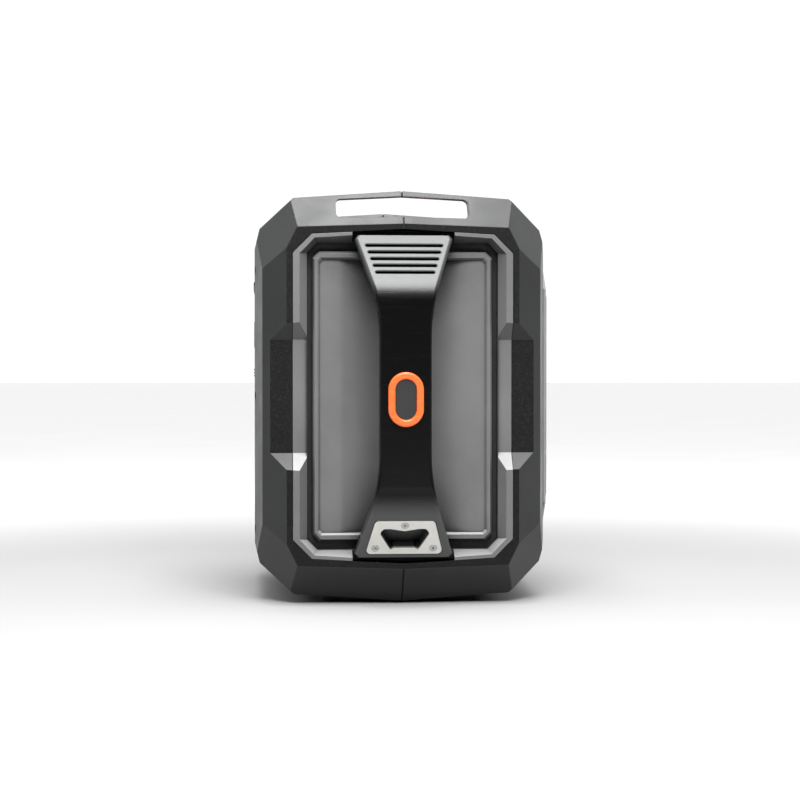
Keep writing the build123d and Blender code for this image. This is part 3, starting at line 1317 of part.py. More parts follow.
def battery_tray():
    """Plate on legs that reach the sloping floor of the rear shell."""
    y0, y1 = BATTERY_Y - CASE_HALF - STRAP_FOOT, BATTERY_Y + CASE_HALF + 1
    plate = box(-CASE_HALF_X - TRAY_LIP, CASE_HALF_X + TRAY_LIP, y0, y1, CASE_LOW - TRAY_PLATE_T, CASE_LOW)
    for sx, y in product((1, -1), (y0 + TRAY_LIP, y1 - TRAY_LIP - LEG_R)):
        plate += rod_z(LEG_R, -HALF_H, CASE_LOW - TRAY_PLATE_T, sx * CASE_HALF_X, y)
    return plate & faceted(WALL)


def battery_case():
    y0, y1 = BATTERY_Y - CASE_HALF, BATTERY_Y + CASE_HALF
    case = box(-CASE_HALF_X, CASE_HALF_X, y0, y1, CASE_LOW, CASE_LOW + 2 * CASE_HALF)
    case = fillet(case.edges().filter_by(Axis.Z), 4.0)
    w = CASE_WALL
    return case - box(-CASE_HALF_X + w, CASE_HALF_X - w, y0 + w, y1 - w, CASE_LOW + w,
                      CASE_LOW + 2 * CASE_HALF - w)


def battery_cells():
    cells = []
    for sx, j, k in product((1, -1), (-1, 0, 1), (-1, 0, 1)):
        y, z = BATTERY_Y + j * CELL_PITCH, CASE_MID + k * CELL_PITCH
        cells.append(rod_x(CELL_R, sx * CELL_GAP, sx * (CELL_GAP + CELL_LEN), y, z))
    return group(cells)


TERMINAL_X = 40.0


def battery_terminals():
    top = CASE_LOW + 2 * CASE_HALF
    (base_r, base_h), (post_r, post_h) = STUD
    return group([rod_z(base_r, top, top + base_h, sx * TERMINAL_X, BATTERY_Y)
                  + rod_z(post_r, top + base_h, top + base_h + post_h, sx * TERMINAL_X, BATTERY_Y)
                  for sx in (1, -1)])


def battery_strap():
    """Steel band over the case, turned out at its feet."""
    y0, y1 = BATTERY_Y - CASE_HALF, BATTERY_Y + CASE_HALF
    top = CASE_LOW + 2 * CASE_HALF
    x, t = STRAP_HALF_X, STRAP_T
    band = box(-x, x, y0 - t, y1 + t, CASE_LOW, top + t) - box(-x - 1, x + 1, y0, y1, CASE_LOW - 1, top)
    band -= box(-x - 1, x + 1, y1, y1 + 9, -LOOSE, CASE_LOW + 3)
    return band + box(-x, x, y0 - STRAP_FOOT, y0 - t, CASE_LOW, CASE_LOW + t)


def main_board():
    """Board on the tub's pillars, with capacitors and a terminal block."""
    half, low, high = MAIN_BOARD
    board = box(-half, half, BOARD_Y, BOARD_Y + BOARD_T, SOCKET_REL_Z + low, SOCKET_REL_Z + high)
    radius, tall, first, pitch, z = CAPACITORS
    for i in range(3):
        board += rod_y(radius, BOARD_Y - tall, BOARD_Y, first + pitch * i, SOCKET_REL_Z + z)
    x0, x1, depth, low, high = TERMINAL_BLOCK
    board += box(x0, x1, BOARD_Y - depth, BOARD_Y, SOCKET_REL_Z + low, SOCKET_REL_Z + high)
    return board


def heat_sink():
    """Finned block on the main board."""
    x0, x1, low, high = SINK
    base_y = BOARD_Y - SINK_BASE_T
    block = box(x0, x1, base_y, BOARD_Y, SOCKET_REL_Z + low, SOCKET_REL_Z + high)
    pitch = (x1 - x0 - FIN_T) / (FINS - 1)
    for i in range(FINS):
        x = x0 + pitch * i
        block += box(x, x + FIN_T, BOARD_Y - SINK_DEPTH, base_y, SOCKET_REL_Z + low, SOCKET_REL_Z + high)
    return block


def jump_relay():
    """High-current relay with two studs."""
    x0, x1, low, high, depth = RELAY
    relay = box(x0, x1, BOARD_Y - depth, BOARD_Y, SOCKET_REL_Z + low, SOCKET_REL_Z + high)
    radius, length = RELAY_STUD
    for x in RELAY_STUDS:
        relay += rod_y(radius, BOARD_Y - depth - length, BOARD_Y - depth, x, SOCKET_REL_Z + RELAY_MID)
    return relay


def battery_leads():
    """Two cables, from the battery's studs to the relay and to the board's block."""
    top = CASE_LOW + 2 * CASE_HALF + STUD[0][1] + STUD[1][1]
    relay_end = BOARD_Y - RELAY[4] - RELAY_STUD[1]
    block_end = BOARD_Y - TERMINAL_BLOCK[2]
    block_mid = sum(TERMINAL_BLOCK[:2]) / 2
    leads = []
    for x, x2, y2, z2 in (
        (TERMINAL_X, RELAY_STUDS[1], relay_end, SOCKET_REL_Z + RELAY_MID),
        (-TERMINAL_X, block_mid, block_end, SOCKET_REL_Z + sum(TERMINAL_BLOCK[3:]) / 2),
    ):
        mid_y = y2 - 16
        path = FilletPolyline((x, BATTERY_Y, MID_Z + top), (x, BATTERY_Y, MID_Z + top + 14),
                              (x2, mid_y, MID_Z + z2 - 12), (x2, mid_y, MID_Z + z2),
                              (x2, y2, MID_Z + z2), radius=LEAD_BEND_R)
        start = Plane(origin=path @ 0, z_dir=path % 0)
        leads.append(sweep(start * Circle(LEAD_R), path))
    return group(leads)


# ---------------------------------------------------------------- assembly

def parts():
    """Every node of the pack."""
    tray, plain_bar = end_tray(), grab_bar(False)
    ring, insert, foot = badge_ring(), badge_insert(), foot_rail()
    rear = half_shell(1)
    for lug in hinge_lugs():
        rear += lug
    made = {
        "front_shell": half_shell(-1), "rear_shell": rear,
        "seam_gasket": seam_gasket(), "shell_screws": shell_screws(),
        "left_end_panel": left_of(tray), "right_end_panel": tray,
        "left_grab_bar": left_of(grab_bar(True)), "right_grab_bar": plain_bar,
        "left_badge_ring": left_of(ring), "right_badge_ring": ring,
        "left_badge_insert": left_of(insert), "right_badge_insert": insert,
        "grab_bar_screws": bar_screws(),
        "opener_plate": left_of(opener_plate()), "opener_screws": left_of(opener_screws()),
        "left_foot": left_of(foot), "right_foot": foot, "foot_screws": foot_screws(),
        "baffle": baffle(), "grille_bezel": grille_bezel(), "grille": grille(),
        "woofer_frame": woofer_frame(), "woofer_magnet": woofer_magnet(),
        "woofer_surround": woofer_surround(), "woofer_spider": woofer_spider(),
        "woofer_cone": woofer_cone(), "woofer_dust_cap": woofer_dust_cap(),
        "woofer_voice_coil": woofer_voice_coil(),
        "tweeter_horn": tweeter_horn(), "tweeter_dome": tweeter_dome(),
        "tweeter_magnet": tweeter_magnet(), "driver_screws": driver_screws(),
        "deck_panel": deck_panel(), "deck_mat": deck_mat(), "deck_screws": deck_screws(),
        "gauge_window": gauge_window(), "button_board": button_board(),
        "service_tub": service_tub(), "service_door": service_door(),
        "door_pin": door_pin(), "door_seal": door_seal(),
        "accessory_socket": accessory_socket(), "jump_socket": jump_socket(),
        "usb_sockets": usb_sockets(), "charge_inlet": charge_inlet(),
        "battery_tray": battery_tray(), "battery_case": battery_case(),
        "battery_cells": battery_cells(), "battery_terminals": battery_terminals(),
        "battery_strap": battery_strap(), "battery_leads": battery_leads(),
        "main_board": main_board(), "heat_sink": heat_sink(), "jump_relay": jump_relay(),
    }
    made.update({name: button(name) for name in BUTTONS})
    return made


# The grille stands further out than the hinge, so the seam lies this far behind
# the middle of the pack, where the origin is.
SEAM_Y = (HALF_D + GRILLE_RISE - HINGE_Y - KNUCKLE_R) / 2

os.makedirs("parts", exist_ok=True)
for node, shape in parts().items():
    export_step(Pos(0, SEAM_Y, 0) * shape, f"parts/{node}.step")
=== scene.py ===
"""Looks for the jump starter pack: materials for every CAD piece, the perforated grille,
small moulded and printed detail, a pale studio and the camera."""

import math

import bmesh
import bpy
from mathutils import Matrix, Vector


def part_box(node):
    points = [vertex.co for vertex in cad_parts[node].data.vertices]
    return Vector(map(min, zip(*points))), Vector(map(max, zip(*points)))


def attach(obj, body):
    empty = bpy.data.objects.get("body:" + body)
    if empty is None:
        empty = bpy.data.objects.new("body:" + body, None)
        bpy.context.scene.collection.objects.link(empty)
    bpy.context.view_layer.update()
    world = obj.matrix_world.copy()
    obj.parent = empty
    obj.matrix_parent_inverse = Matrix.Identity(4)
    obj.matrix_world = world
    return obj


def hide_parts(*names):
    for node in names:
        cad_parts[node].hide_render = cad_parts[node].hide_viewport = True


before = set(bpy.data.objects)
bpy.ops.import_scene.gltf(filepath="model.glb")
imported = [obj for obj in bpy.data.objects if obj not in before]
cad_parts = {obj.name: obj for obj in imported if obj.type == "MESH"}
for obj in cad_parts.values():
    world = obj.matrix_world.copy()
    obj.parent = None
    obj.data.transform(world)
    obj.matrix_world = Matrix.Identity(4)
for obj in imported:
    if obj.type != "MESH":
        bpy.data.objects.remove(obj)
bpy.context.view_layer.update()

MM = 0.001

# Camera: a long lens at about mid-height, turned slightly towards the grille.
CAMERA_TARGET = Vector((-0.165, 0.0066, 0.1903))
CAMERA_DISTANCE = 1.8
CAMERA_YAW = math.radians(-4.27)
CAMERA_PITCH = math.radians(0.8)
CAMERA_LENS = 87.93

# Studio. World brightness: start, end, value at the start, value at the end
BACKDROP_RANGE = (-0.55, 0.35, 0.05, 1.05)  # along +X, away from the camera
OVERHEAD_RANGE = (0.25, 0.9, 0.05, 1.2)     # upwards
SOFT_BOXES = [
    ("key", (-1.1, 0.0, 1.3), (-0.18, 0.0, 0.3), (0.9, 0.6), 30.0),
    ("top", (-0.25, 0.0, 1.75), (-0.15, 0.0, 0.3), (0.8, 0.8), 20.0),
]
# The floor is paler away from the pack, where less light reaches it, and dark far out on
# the camera's side, where the glossy bar mirrors it.
FLOOR_HALF = 40.0
FLOOR_NEAR = 0.4
FLOOR_FAR = 0.95
FLOOR_SPREAD = (0.45, 1.6)
FLOOR_DARK_SIDE = (-2.6, -1.9, 0.2, 1.0)

# The housing, in millimetres from its seam and its mid-height
SEAM_Y = 3.0
MID_Z = 193.5
END_FACING = 0.985         # least X of the normal of a face that counts as an end face
END_RIDGE_X = 0.146        # the end ridges and notch floors lie outside this, in metres
BAR_END_RISE = (0.088, 0.112)   # mid-height to where the bar's sloping ends start, in metres


def at(x, y, z):
    """A point in the frame from millimetres about the seam and mid-height."""
    return Vector((x * MM, (y + SEAM_Y) * MM, (z + MID_Z) * MM))


# ---------------------------------------------------------------- materials

class Recipe:
    """Builds one node material round a Principled shader."""

    def __init__(self, name):
        self.material = bpy.data.materials.new(name)
        self.material.use_nodes = True
        self.tree = self.material.node_tree
        self.shader = self.tree.nodes["Principled BSDF"]
        self.place = self.node("ShaderNodeTexCoord").outputs["Object"]

    def node(self, kind, **settings):
        made = self.tree.nodes.new(kind)
        for key, value in settings.items():
            setattr(made, key, value)
        return made

    def put(self, socket, value):
        """Links a socket, or sets it where the value is a plain one."""
        if isinstance(value, bpy.types.NodeSocket):
            self.tree.links.new(value, socket)
        else:
            socket.default_value = value

    def surface(self, **values):
        """Sets the shader's sockets: base_color=..., roughness=... and so on."""
        names = {"base_color": "Base Color", "ior": "IOR", "specular": "Specular IOR Level",
                 "emission_color": "Emission Color", "emission": "Emission Strength"}
        for key, value in values.items():
            self.put(self.shader.inputs[names.get(key, key.capitalize())], value)
        return self

    def math(self, operation, a, b=0.0, clamp=False):
        made = self.node("ShaderNodeMath", operation=operation, use_clamp=clamp)
        self.put(made.inputs[0], a)
        self.put(made.inputs[1], b)
        return made.outputs[0]

    def noise(self, scale, detail=3.0, rough=0.55, stretch=(1, 1, 1), offset=(0, 0, 0)):
        mapped = self.node("ShaderNodeMapping")
        self.put(mapped.inputs["Vector"], self.place)
        mapped.inputs["Scale"].default_value = stretch
        mapped.inputs["Location"].default_value = offset
        made = self.node("ShaderNodeTexNoise")
        self.put(made.inputs["Vector"], mapped.outputs[0])
        made.inputs["Scale"].default_value = scale
        made.inputs["Detail"].default_value = detail
        made.inputs["Roughness"].default_value = rough
        return made.outputs["Fac"]

    def span(self, value, low, high, to_low=0.0, to_high=1.0, smooth=True):
        """Maps a value's range to another, clamped."""
        made = self.node("ShaderNodeMapRange", interpolation_type="SMOOTHSTEP" if smooth else "LINEAR")
        for i, v in enumerate((value, low, high, to_low, to_high)):
            self.put(made.inputs[i], v)
        return made.outputs[0]

    def mix(self, factor, a, b):
        """Mixes two colours."""
        made = self.node("ShaderNodeMix", data_type="RGBA")
        self.put(made.inputs["Factor"], factor)
        colours = [s for s in made.inputs if s.type == "RGBA"]
        self.put(colours[0], a)
        self.put(colours[1], b)
        return [s for s in made.outputs if s.type == "RGBA"][0]

    def blend(self, factor, a, b):
        """Mixes two numbers."""
        made = self.node("ShaderNodeMix", data_type="FLOAT")
        for i, value in ((0, factor), (2, a), (3, b)):
            self.put(made.inputs[i], value)
        return made.outputs[0]

    def round_edges(self, radius):
        """Normal that rounds hard edges over a radius."""
        made = self.node("ShaderNodeBevel", samples=4)
        made.inputs["Radius"].default_value = radius
        return made.outputs[0]

    def edges(self, radius):
        """One on outer and inner edges, falling to nothing over a radius."""
        rounded = self.round_edges(radius)
        flat = self.node("ShaderNodeNewGeometry").outputs["Normal"]
        made = self.node("ShaderNodeVectorMath", operation="DOT_PRODUCT")
        self.put(made.inputs[0], rounded)
        self.put(made.inputs[1], flat)
        return self.span(made.outputs["Value"], 0.995, 0.9)

    def painted_recess_shade(self, distance, low=0.3, high=0.9, darkest=0.2):
        """Painted shade: one in the open, falling towards darkest in grooves, gaps and corners."""
        made = self.node("ShaderNodeAmbientOcclusion", samples=6)
        made.inputs["Distance"].default_value = distance
        return self.span(made.outputs["AO"], low, high, darkest, 1.0)

    def painted_facing_light(self, under, upper):
        """Factor of painted light and shade: under on faces that look down, upper on faces that look up."""
        normal = self.node("ShaderNodeSeparateXYZ")
        self.put(normal.inputs[0], self.node("ShaderNodeNewGeometry").outputs["Normal"])
        below = self.span(normal.outputs["Z"], -0.75, -0.1, under, 1.0)
        return self.math("MULTIPLY", below, self.span(normal.outputs["Z"], 0.1, 0.75, 1.0, upper))

    def dim(self, colour, factor):
        """Multiplies a colour by a factor."""
        made = self.node("ShaderNodeVectorMath", operation="SCALE")
        self.put(made.inputs[0], colour)
        self.put(made.inputs["Scale"], factor)
        return made.outputs[0]

    def bump(self, height, distance, normal=None, strength=1.0):
        made = self.node("ShaderNodeBump")
        made.inputs["Strength"].default_value = strength
        made.inputs["Distance"].default_value = distance
        self.put(made.inputs["Height"], height)
        if normal is not None:
            self.put(made.inputs["Normal"], normal)
        self.put(self.shader.inputs["Normal"], made.outputs[0])
        return made.outputs[0]


def grey(value, tint=(1.0, 1.0, 1.0)):
    return (value * tint[0], value * tint[1], value * tint[2], 1.0)


def moulded(name, base, rough, grain=1800.0, depth=0.00005, wear=0.35, edge=0.0006, tint=(1, 1, 1),
            specular=0.5, gap=0.012, darkest=0.35, dust_and_painted_light=(1.0, 1.0)):
    """Moulded plastic: fine grain, blotches, a few scuffs, paler edges, painted shade in gaps, painted light
    and shade by facing.
    """
    r = Recipe(name)
    hollow_shade = r.painted_recess_shade(gap, darkest=darkest)
    blotch = r.span(r.noise(14.0, 4.0), 0.35, 0.7)
    scuff = r.span(r.noise(90.0, 6.0, 0.7, stretch=(1, 0.35, 1.6)), 0.62, 0.72)
    colour = r.mix(blotch, grey(base * 0.92, tint), grey(base * 1.08, tint))
    colour = r.mix(r.math("MULTIPLY", scuff, 0.12), colour, grey(min(base * 2.2, 0.8), tint))
    worn = r.math("MULTIPLY", r.edges(edge), r.span(r.noise(60.0, 5.0), 0.35, 0.65, 0.3, 1.0))
    colour = r.mix(r.math("MULTIPLY", worn, wear), colour, grey(min(base * 2.6 + 0.02, 0.8), tint))
    # Painted shade in gaps and hollows, then painted light and shade by facing: darker where a face looks
    # down, lighter where it looks up. The shade in gaps also dims the reflection below.
    colour = r.dim(r.dim(colour, hollow_shade), r.painted_facing_light(*dust_and_painted_light))
    roughness = r.math("ADD", r.span(r.noise(25.0, 5.0), 0.3, 0.7, rough - 0.05, rough + 0.06),
                       r.math("MULTIPLY", scuff, 0.08))
    r.surface(base_color=colour, roughness=roughness, ior=1.5,
              specular=r.math("MULTIPLY", hollow_shade, specular))
    r.bump(r.noise(grain, 3.0, 0.6), depth, r.round_edges(edge))
    r.colour, r.rough = colour, roughness
    return r


def shell_plastic():
    """Charcoal housing. The flat end ridges and the notch floors are coarser and black."""
    # Painted shade: faces that look down darkened to a fifth, gaps and hollows down to a fifth; faces that
    # look up painted a little lighter.
    r = moulded("shell_plastic", 0.017, 0.38, wear=0.35, edge=0.0009, tint=(0.95, 0.99, 1.0), darkest=0.2,
                 dust_and_painted_light=(0.2, 1.15))
    normal = r.node("ShaderNodeSeparateXYZ")
    r.put(normal.inputs[0], r.node("ShaderNodeNewGeometry").outputs["True Normal"])
    place = r.node("ShaderNodeSeparateXYZ")
    r.put(place.inputs[0], r.place)
    faces_end = r.math("GREATER_THAN", r.math("ABSOLUTE", normal.outputs["X"]), END_FACING)
    outer = r.math("GREATER_THAN", r.math("ABSOLUTE", place.outputs["X"]), END_RIDGE_X)
    band = r.math("MULTIPLY", faces_end, outer)
    speck = r.span(r.noise(900.0, 2.0, 0.7), 0.45, 0.75)
    black = r.mix(speck, grey(0.0035), grey(0.02))
    r.surface(base_color=r.mix(band, r.colour, black), roughness=r.blend(band, r.rough, 0.75),
              specular=r.blend(band, 0.5, 0.2))
    return r


def bar_plastic():
    """Glossy black bar with dust and hairlines. Its sloping ends have a grain and a greyer colour, part of
    it painted light for the light above and the floor below that they face.
    """
    r = Recipe("bar_plastic")
    place = r.node("ShaderNodeSeparateXYZ")
    r.put(place.inputs[0], r.place)
    rise = r.math("ABSOLUTE", r.math("SUBTRACT", place.outputs["Z"], MID_Z * MM))
    ends = r.span(rise, *BAR_END_RISE)
    # Painted shade in the grooves and the opener's well, on colour and reflection alike.
    hollow_shade = r.painted_recess_shade(0.012, 0.25, 0.8, 0.03)
    dust_and_painted_light = r.span(r.noise(500.0, 4.0, 0.7), 0.58, 0.8)
    gloss = r.mix(r.math("MULTIPLY", dust_and_painted_light, 0.1), grey(0.003), grey(0.03))
    # Colour of the ends: greyer partly for the grain, partly as painted light standing in for the light and
    # floor they face.
    grain_and_painted_light = r.mix(r.noise(700.0, 4.0), grey(0.04, (0.95, 0.99, 1)), grey(0.06, (0.95, 0.99, 1)))
    hair = r.span(r.noise(400.0, 3.0, 0.7, stretch=(1, 0.06, 1)), 0.45, 0.75, 0.2, 0.3)
    r.surface(base_color=r.dim(r.mix(ends, gloss, grain_and_painted_light), hollow_shade), roughness=r.blend(ends, hair, 0.36),
              ior=1.5, specular=r.math("MULTIPLY", hollow_shade, r.blend(ends, 0.15, 0.62)))
    r.bump(r.math("MULTIPLY", r.noise(1700.0, 2.0), r.span(ends, 0.0, 1.0, 0.15, 1.0)), 0.00005,
           r.round_edges(0.0006))
    return r


def glossy(name, base, rough=0.18, tint=(1, 1, 1)):
    """Smooth hard plastic with dust and hairlines."""
    r = Recipe(name)
    dust_and_painted_light = r.span(r.noise(500.0, 4.0, 0.7), 0.58, 0.8)
    colour = r.mix(r.math("MULTIPLY", dust_and_painted_light, 0.15), grey(base, tint), grey(base * 1.5 + 0.02, tint))
    hair = r.span(r.noise(400.0, 3.0, 0.7, stretch=(1, 0.06, 1)), 0.45, 0.75, rough - 0.03, rough + 0.08)
    r.surface(base_color=colour, roughness=hair, ior=1.5)
    r.bump(r.noise(1500.0, 2.0), 0.000006, r.round_edges(0.0005))
    return r


def metal(name, base, rough, tint=(1, 1, 1), streaks=(1, 1, 1), edge=0.0003):
    """Bare metal with fine streaks and faint stains."""
    r = Recipe(name)
    streak = r.noise(700.0, 5.0, 0.7, stretch=streaks)
    stain = r.span(r.noise(40.0, 5.0), 0.4, 0.75)
    colour = r.mix(streak, grey(base * 0.82, tint), grey(base * 1.12, tint))
    colour = r.mix(r.math("MULTIPLY", stain, 0.15), colour, grey(base * 0.6, tint))
    r.surface(base_color=colour, metallic=1.0, roughness=r.span(streak, 0.3, 0.7, rough - 0.06, rough + 0.1))
    r.bump(streak, 0.00001, r.round_edges(edge))
    return r


def rubber(name, base=0.02, rough=0.75):
    """Matte rubber with dust."""
    r = Recipe(name)
    dust_and_painted_light = r.span(r.noise(220.0, 6.0, 0.7), 0.5, 0.8)
    colour = r.mix(r.math("MULTIPLY", dust_and_painted_light, 0.3), grey(base), grey(base * 2.5 + 0.02))
    r.surface(base_color=colour, roughness=r.span(r.noise(80.0), 0.3, 0.7, rough - 0.06, rough + 0.08))
    r.bump(r.noise(2200.0, 2.0), 0.00003, r.round_edges(0.0005))
    return r


def lamp(name, tint, strength):
    """Milky indicator that glows a little."""
    r = moulded(name, 0.8, 0.4, grain=2500.0, depth=0.00001, wear=0.0, tint=tint)
    r.surface(emission_color=r.mix(r.noise(300.0), grey(0.8, tint), grey(1.0, tint)), emission=strength)
    return r


def assign(recipe, *nodes):
    for name in nodes:
        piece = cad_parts[name]
        piece.data.materials.clear()
        piece.data.materials.append(recipe.material)


def dress_cad():
    """Gives every CAD piece its finish."""
    assign(shell_plastic(), "front_shell", "rear_shell")
    # Painted shade in hollows out to 45 mm, down to a tenth, which darkens the panel round the grab bar;
    # faces that look down painted darker, faces that look up painted up to 2.6 times lighter.
    assign(moulded("tray_plastic", 0.14, 0.36, grain=1400.0, depth=0.00006, wear=0.5, gap=0.045, darkest=0.1,
                    dust_and_painted_light=(0.45, 2.6)),
           "left_end_panel", "right_end_panel")
    assign(bar_plastic(), "left_grab_bar", "right_grab_bar")
    assign(glossy("orange_plastic", 0.95, 0.26, (1.0, 0.16, 0.035)), "left_badge_ring", "right_badge_ring",
           "power_button", "boost_button", "jump_socket")
    assign(moulded("insert_plastic", 0.02, 0.45, wear=0.1), "left_badge_insert", "right_badge_insert")
    assign(metal("opener_steel", 0.78, 0.5, (1, 0.98, 0.93)), "opener_plate")
    assign(metal("screw_steel", 0.5, 0.3), "opener_screws", "shell_screws", "grab_bar_screws",
           "foot_screws", "driver_screws", "deck_screws", "door_pin")
    assign(rubber("foot_rubber"), "left_foot", "right_foot", "deck_mat")
    assign(rubber("gasket_rubber", 0.006), "seam_gasket", "door_seal", "woofer_surround")
    assign(moulded("bezel_plastic", 0.3, 0.3, wear=0.2), "grille_bezel")
    assign(moulded("grille_paint", 0.02, 0.45, wear=0.4), "grille")
    assign(moulded("black_plastic", 0.02, 0.5), "baffle", "service_tub", "tweeter_horn", "jump_relay",
           "deck_panel")
    assign(moulded("basket_paint", 0.03, 0.4), "woofer_frame", "battery_tray", "battery_strap")
    assign(metal("magnet_metal", 0.2, 0.5), "woofer_magnet", "tweeter_magnet")
    assign(moulded("cone_fibre", 0.035, 0.8, grain=900.0, depth=0.0001, wear=0.0), "woofer_cone",
           "woofer_dust_cap")
    assign(moulded("spider_cloth", 0.3, 0.85, grain=900.0, depth=0.0001, wear=0.0, tint=(1, 0.7, 0.25)),
           "woofer_spider")
    assign(metal("coil_copper", 0.75, 0.35, (1, 0.55, 0.35)), "woofer_voice_coil")
    assign(metal("dome_metal", 0.7, 0.3), "tweeter_dome", "accessory_socket", "usb_sockets", "charge_inlet")
    assign(moulded("door_plastic", 0.06, 0.45), "service_door")
    assign(moulded("button_plastic", 0.12, 0.5), "source_button", "volume_down_button", "play_button",
           "volume_up_button")
    assign(glossy("gauge_plastic", 0.01), "gauge_window")
    assign(moulded("board_laminate", 0.15, 0.35, tint=(0.15, 1, 0.4)), "button_board", "main_board")
    assign(moulded("case_plastic", 0.08, 0.35, tint=(0.3, 0.5, 1)), "battery_case")
    assign(moulded("cell_sleeve", 0.3, 0.35, tint=(0.5, 1, 0.6)), "battery_cells")
    assign(metal("stud_brass", 0.7, 0.3, (1, 0.75, 0.35)), "battery_terminals")
    assign(moulded("lead_cover", 0.4, 0.5, tint=(1, 0.05, 0.04)), "battery_leads")
    assign(metal("sink_aluminium", 0.15, 0.4), "heat_sink")


# ---------------------------------------------------------------- pieces

def piece(name, mesh, recipe, body):
    """Puts a mesh in the scene, with its finish, on its body."""
    made = bpy.data.objects.new(name, mesh)
    bpy.context.collection.objects.link(made)
    mesh.materials.append(recipe.material)
    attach(made, body)
    return made


def closed_mesh(name, verts, faces, weld=0.0):
    """A mesh with its faces turned outwards. Points nearer than weld are joined."""
    mesh = bpy.data.meshes.new(name)
    mesh.from_pydata([tuple(v) for v in verts], [], faces)
    sides = bmesh.new()
    sides.from_mesh(mesh)
    if weld:
        bmesh.ops.remove_doubles(sides, verts=sides.verts, dist=weld)
    bmesh.ops.recalc_face_normals(sides, faces=sides.faces)
    sides.to_mesh(mesh)
    sides.free()
    return mesh


def solid_mesh(name, shapes):
    """A mesh from (outline, low, high, place) prisms. place maps (u, v, height) to the frame."""
    verts, faces = [], []
    for outline, low, high, place in shapes:
        start, count = len(verts), len(outline)
        verts += [place(u, v, low) for u, v in outline] + [place(u, v, high) for u, v in outline]
        faces.append([start + i for i in reversed(range(count))])
        faces.append([start + count + i for i in range(count)])
        for i in range(count):
            j = (i + 1) % count
            faces.append([start + i, start + j, start + count + j, start + count + i])
    return closed_mesh(name, verts, faces)


def disc(radius, count=24, u=0.0, v=0.0):
    return [(u + radius * math.cos(2 * math.pi * i / count), v + radius * math.sin(2 * math.pi * i / count))
            for i in range(count)]


def arc_band(radius, width, start, end, count=20):
    """Outline of an arc of a ring, angles in degrees."""
    angles = [math.radians(start + (end - start) * i / count) for i in range(count + 1)]
    outer = [((radius + width / 2) * math.cos(a), (radius + width / 2) * math.sin(a)) for a in angles]
    inner = [((radius - width / 2) * math.cos(a), (radius - width / 2) * math.sin(a)) for a in angles]
    return outer + inner[::-1]


def bar_shape(half_u, half_v, u=0.0, v=0.0):
    return [(u - half_u, v - half_v), (u + half_u, v - half_v),
            (u + half_u, v + half_v), (u - half_u, v + half_v)]


BOLT = [(0.6, 4.4), (-2.6, -0.6), (-0.4, -0.6), (-0.8, -4.4), (2.6, 0.9), (0.4, 0.9)]
ICONS = {
    "power_button": [arc_band(3.6, 0.9, 125, 415), bar_shape(0.45, 1.9, 0, 3.0)],
    "boost_button": [BOLT],
    "source_button": [arc_band(3.0, 0.8, 30, 330), [(0.6, 0.0), (3.6, 1.7), (3.6, -1.7)]],
    "volume_down_button": [bar_shape(2.8, 0.45)],
    "volume_up_button": [bar_shape(2.8, 0.45), bar_shape(0.45, 1.175, 0, 1.625),
                         bar_shape(0.45, 1.175, 0, -1.625)],
    "play_button": [[(-1.8, -2.8), (3.0, 0.0), (-1.8, 2.8)]],
}
ICON_HIGH = 0.12
MARK_SINK = -0.05          # marks start this far inside what they stand on

GAUGE_SEGMENTS = 5
GAUGE_LIT = 4
GAUGE_PITCH = 12.0
GAUGE_SEGMENT = (4.2, 1.3)
GAUGE_HIGH = 0.08


def add_icons():
    """Raised marks on the button caps."""
    paint = moulded("icon_paint", 0.7, 0.5, wear=0.0)
    for name, outlines in ICONS.items():
        low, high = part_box(name)
        x, y, z = (low[0] + high[0]) / 2, (low[1] + high[1]) / 2, high[2]

        def place(u, v, h, x=x, y=y, z=z):
            return Vector((x + u * MM, y + v * MM, z + h * MM))

        shapes = [(outline, MARK_SINK, ICON_HIGH, place) for outline in outlines]
        piece(name.replace("_button", "_icon"), solid_mesh(name + "_icon", shapes), paint,
              name.replace("_button", "_key"))


def add_gauge_lamps():
    """Charge segments seen in the gauge window."""
    low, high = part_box("gauge_window")
    x, y, z = (low[0] + high[0]) / 2, (low[1] + high[1]) / 2, high[2]

    def place(u, v, h):
        return Vector((x + u * MM, y + v * MM, z + h * MM))

    lit, unlit = lamp("lamp_lit", (0.35, 1.0, 0.45), 0.6), moulded("lamp_dark", 0.05, 0.3, wear=0.0)
    for i in range(GAUGE_SEGMENTS):
        outline = bar_shape(*GAUGE_SEGMENT, (i - GAUGE_SEGMENTS // 2) * GAUGE_PITCH)
        segment = [(outline, MARK_SINK, GAUGE_HIGH, place)]
        piece(f"gauge_segment_{i + 1}", solid_mesh(f"gauge_segment_{i + 1}", segment),
              lit if i < GAUGE_LIT else unlit, "pack")


# Grille: outline half sizes and chamfer, then the profile of its pan as margin and depth
GRILLE_HALF = (106.0, 128.0)
GRILLE_CHAMFER = 26.0
OCTAGON_INSET = 0.586      # how much a 45 degree chamfer shrinks per unit of margin
PAN = [(9.3, -135.0), (9.3, -137.0), (10.2, -138.2), (17.4, -143.6), (18.6, -144.0), (23.0, -144.0),
       (23.6, -143.7), (23.6, -143.0), (19.0, -142.4), (11.4, -136.9), (10.8, -135.0)]
SHEET_MARGIN = 22.6
SHEET_DEPTH = (-143.5, -142.7)
HOLE_PITCH = 5.4
HOLE_R = 1.85


def octagon(margin):
    x, z, c = GRILLE_HALF[0] - margin, GRILLE_HALF[1] - margin, GRILLE_CHAMFER - margin * OCTAGON_INSET
    quarter = [(x - c, z), (x, z - c), (x, c - z), (x - c, -z)]
    return quarter + [(-a, b) for a, b in reversed(quarter)]


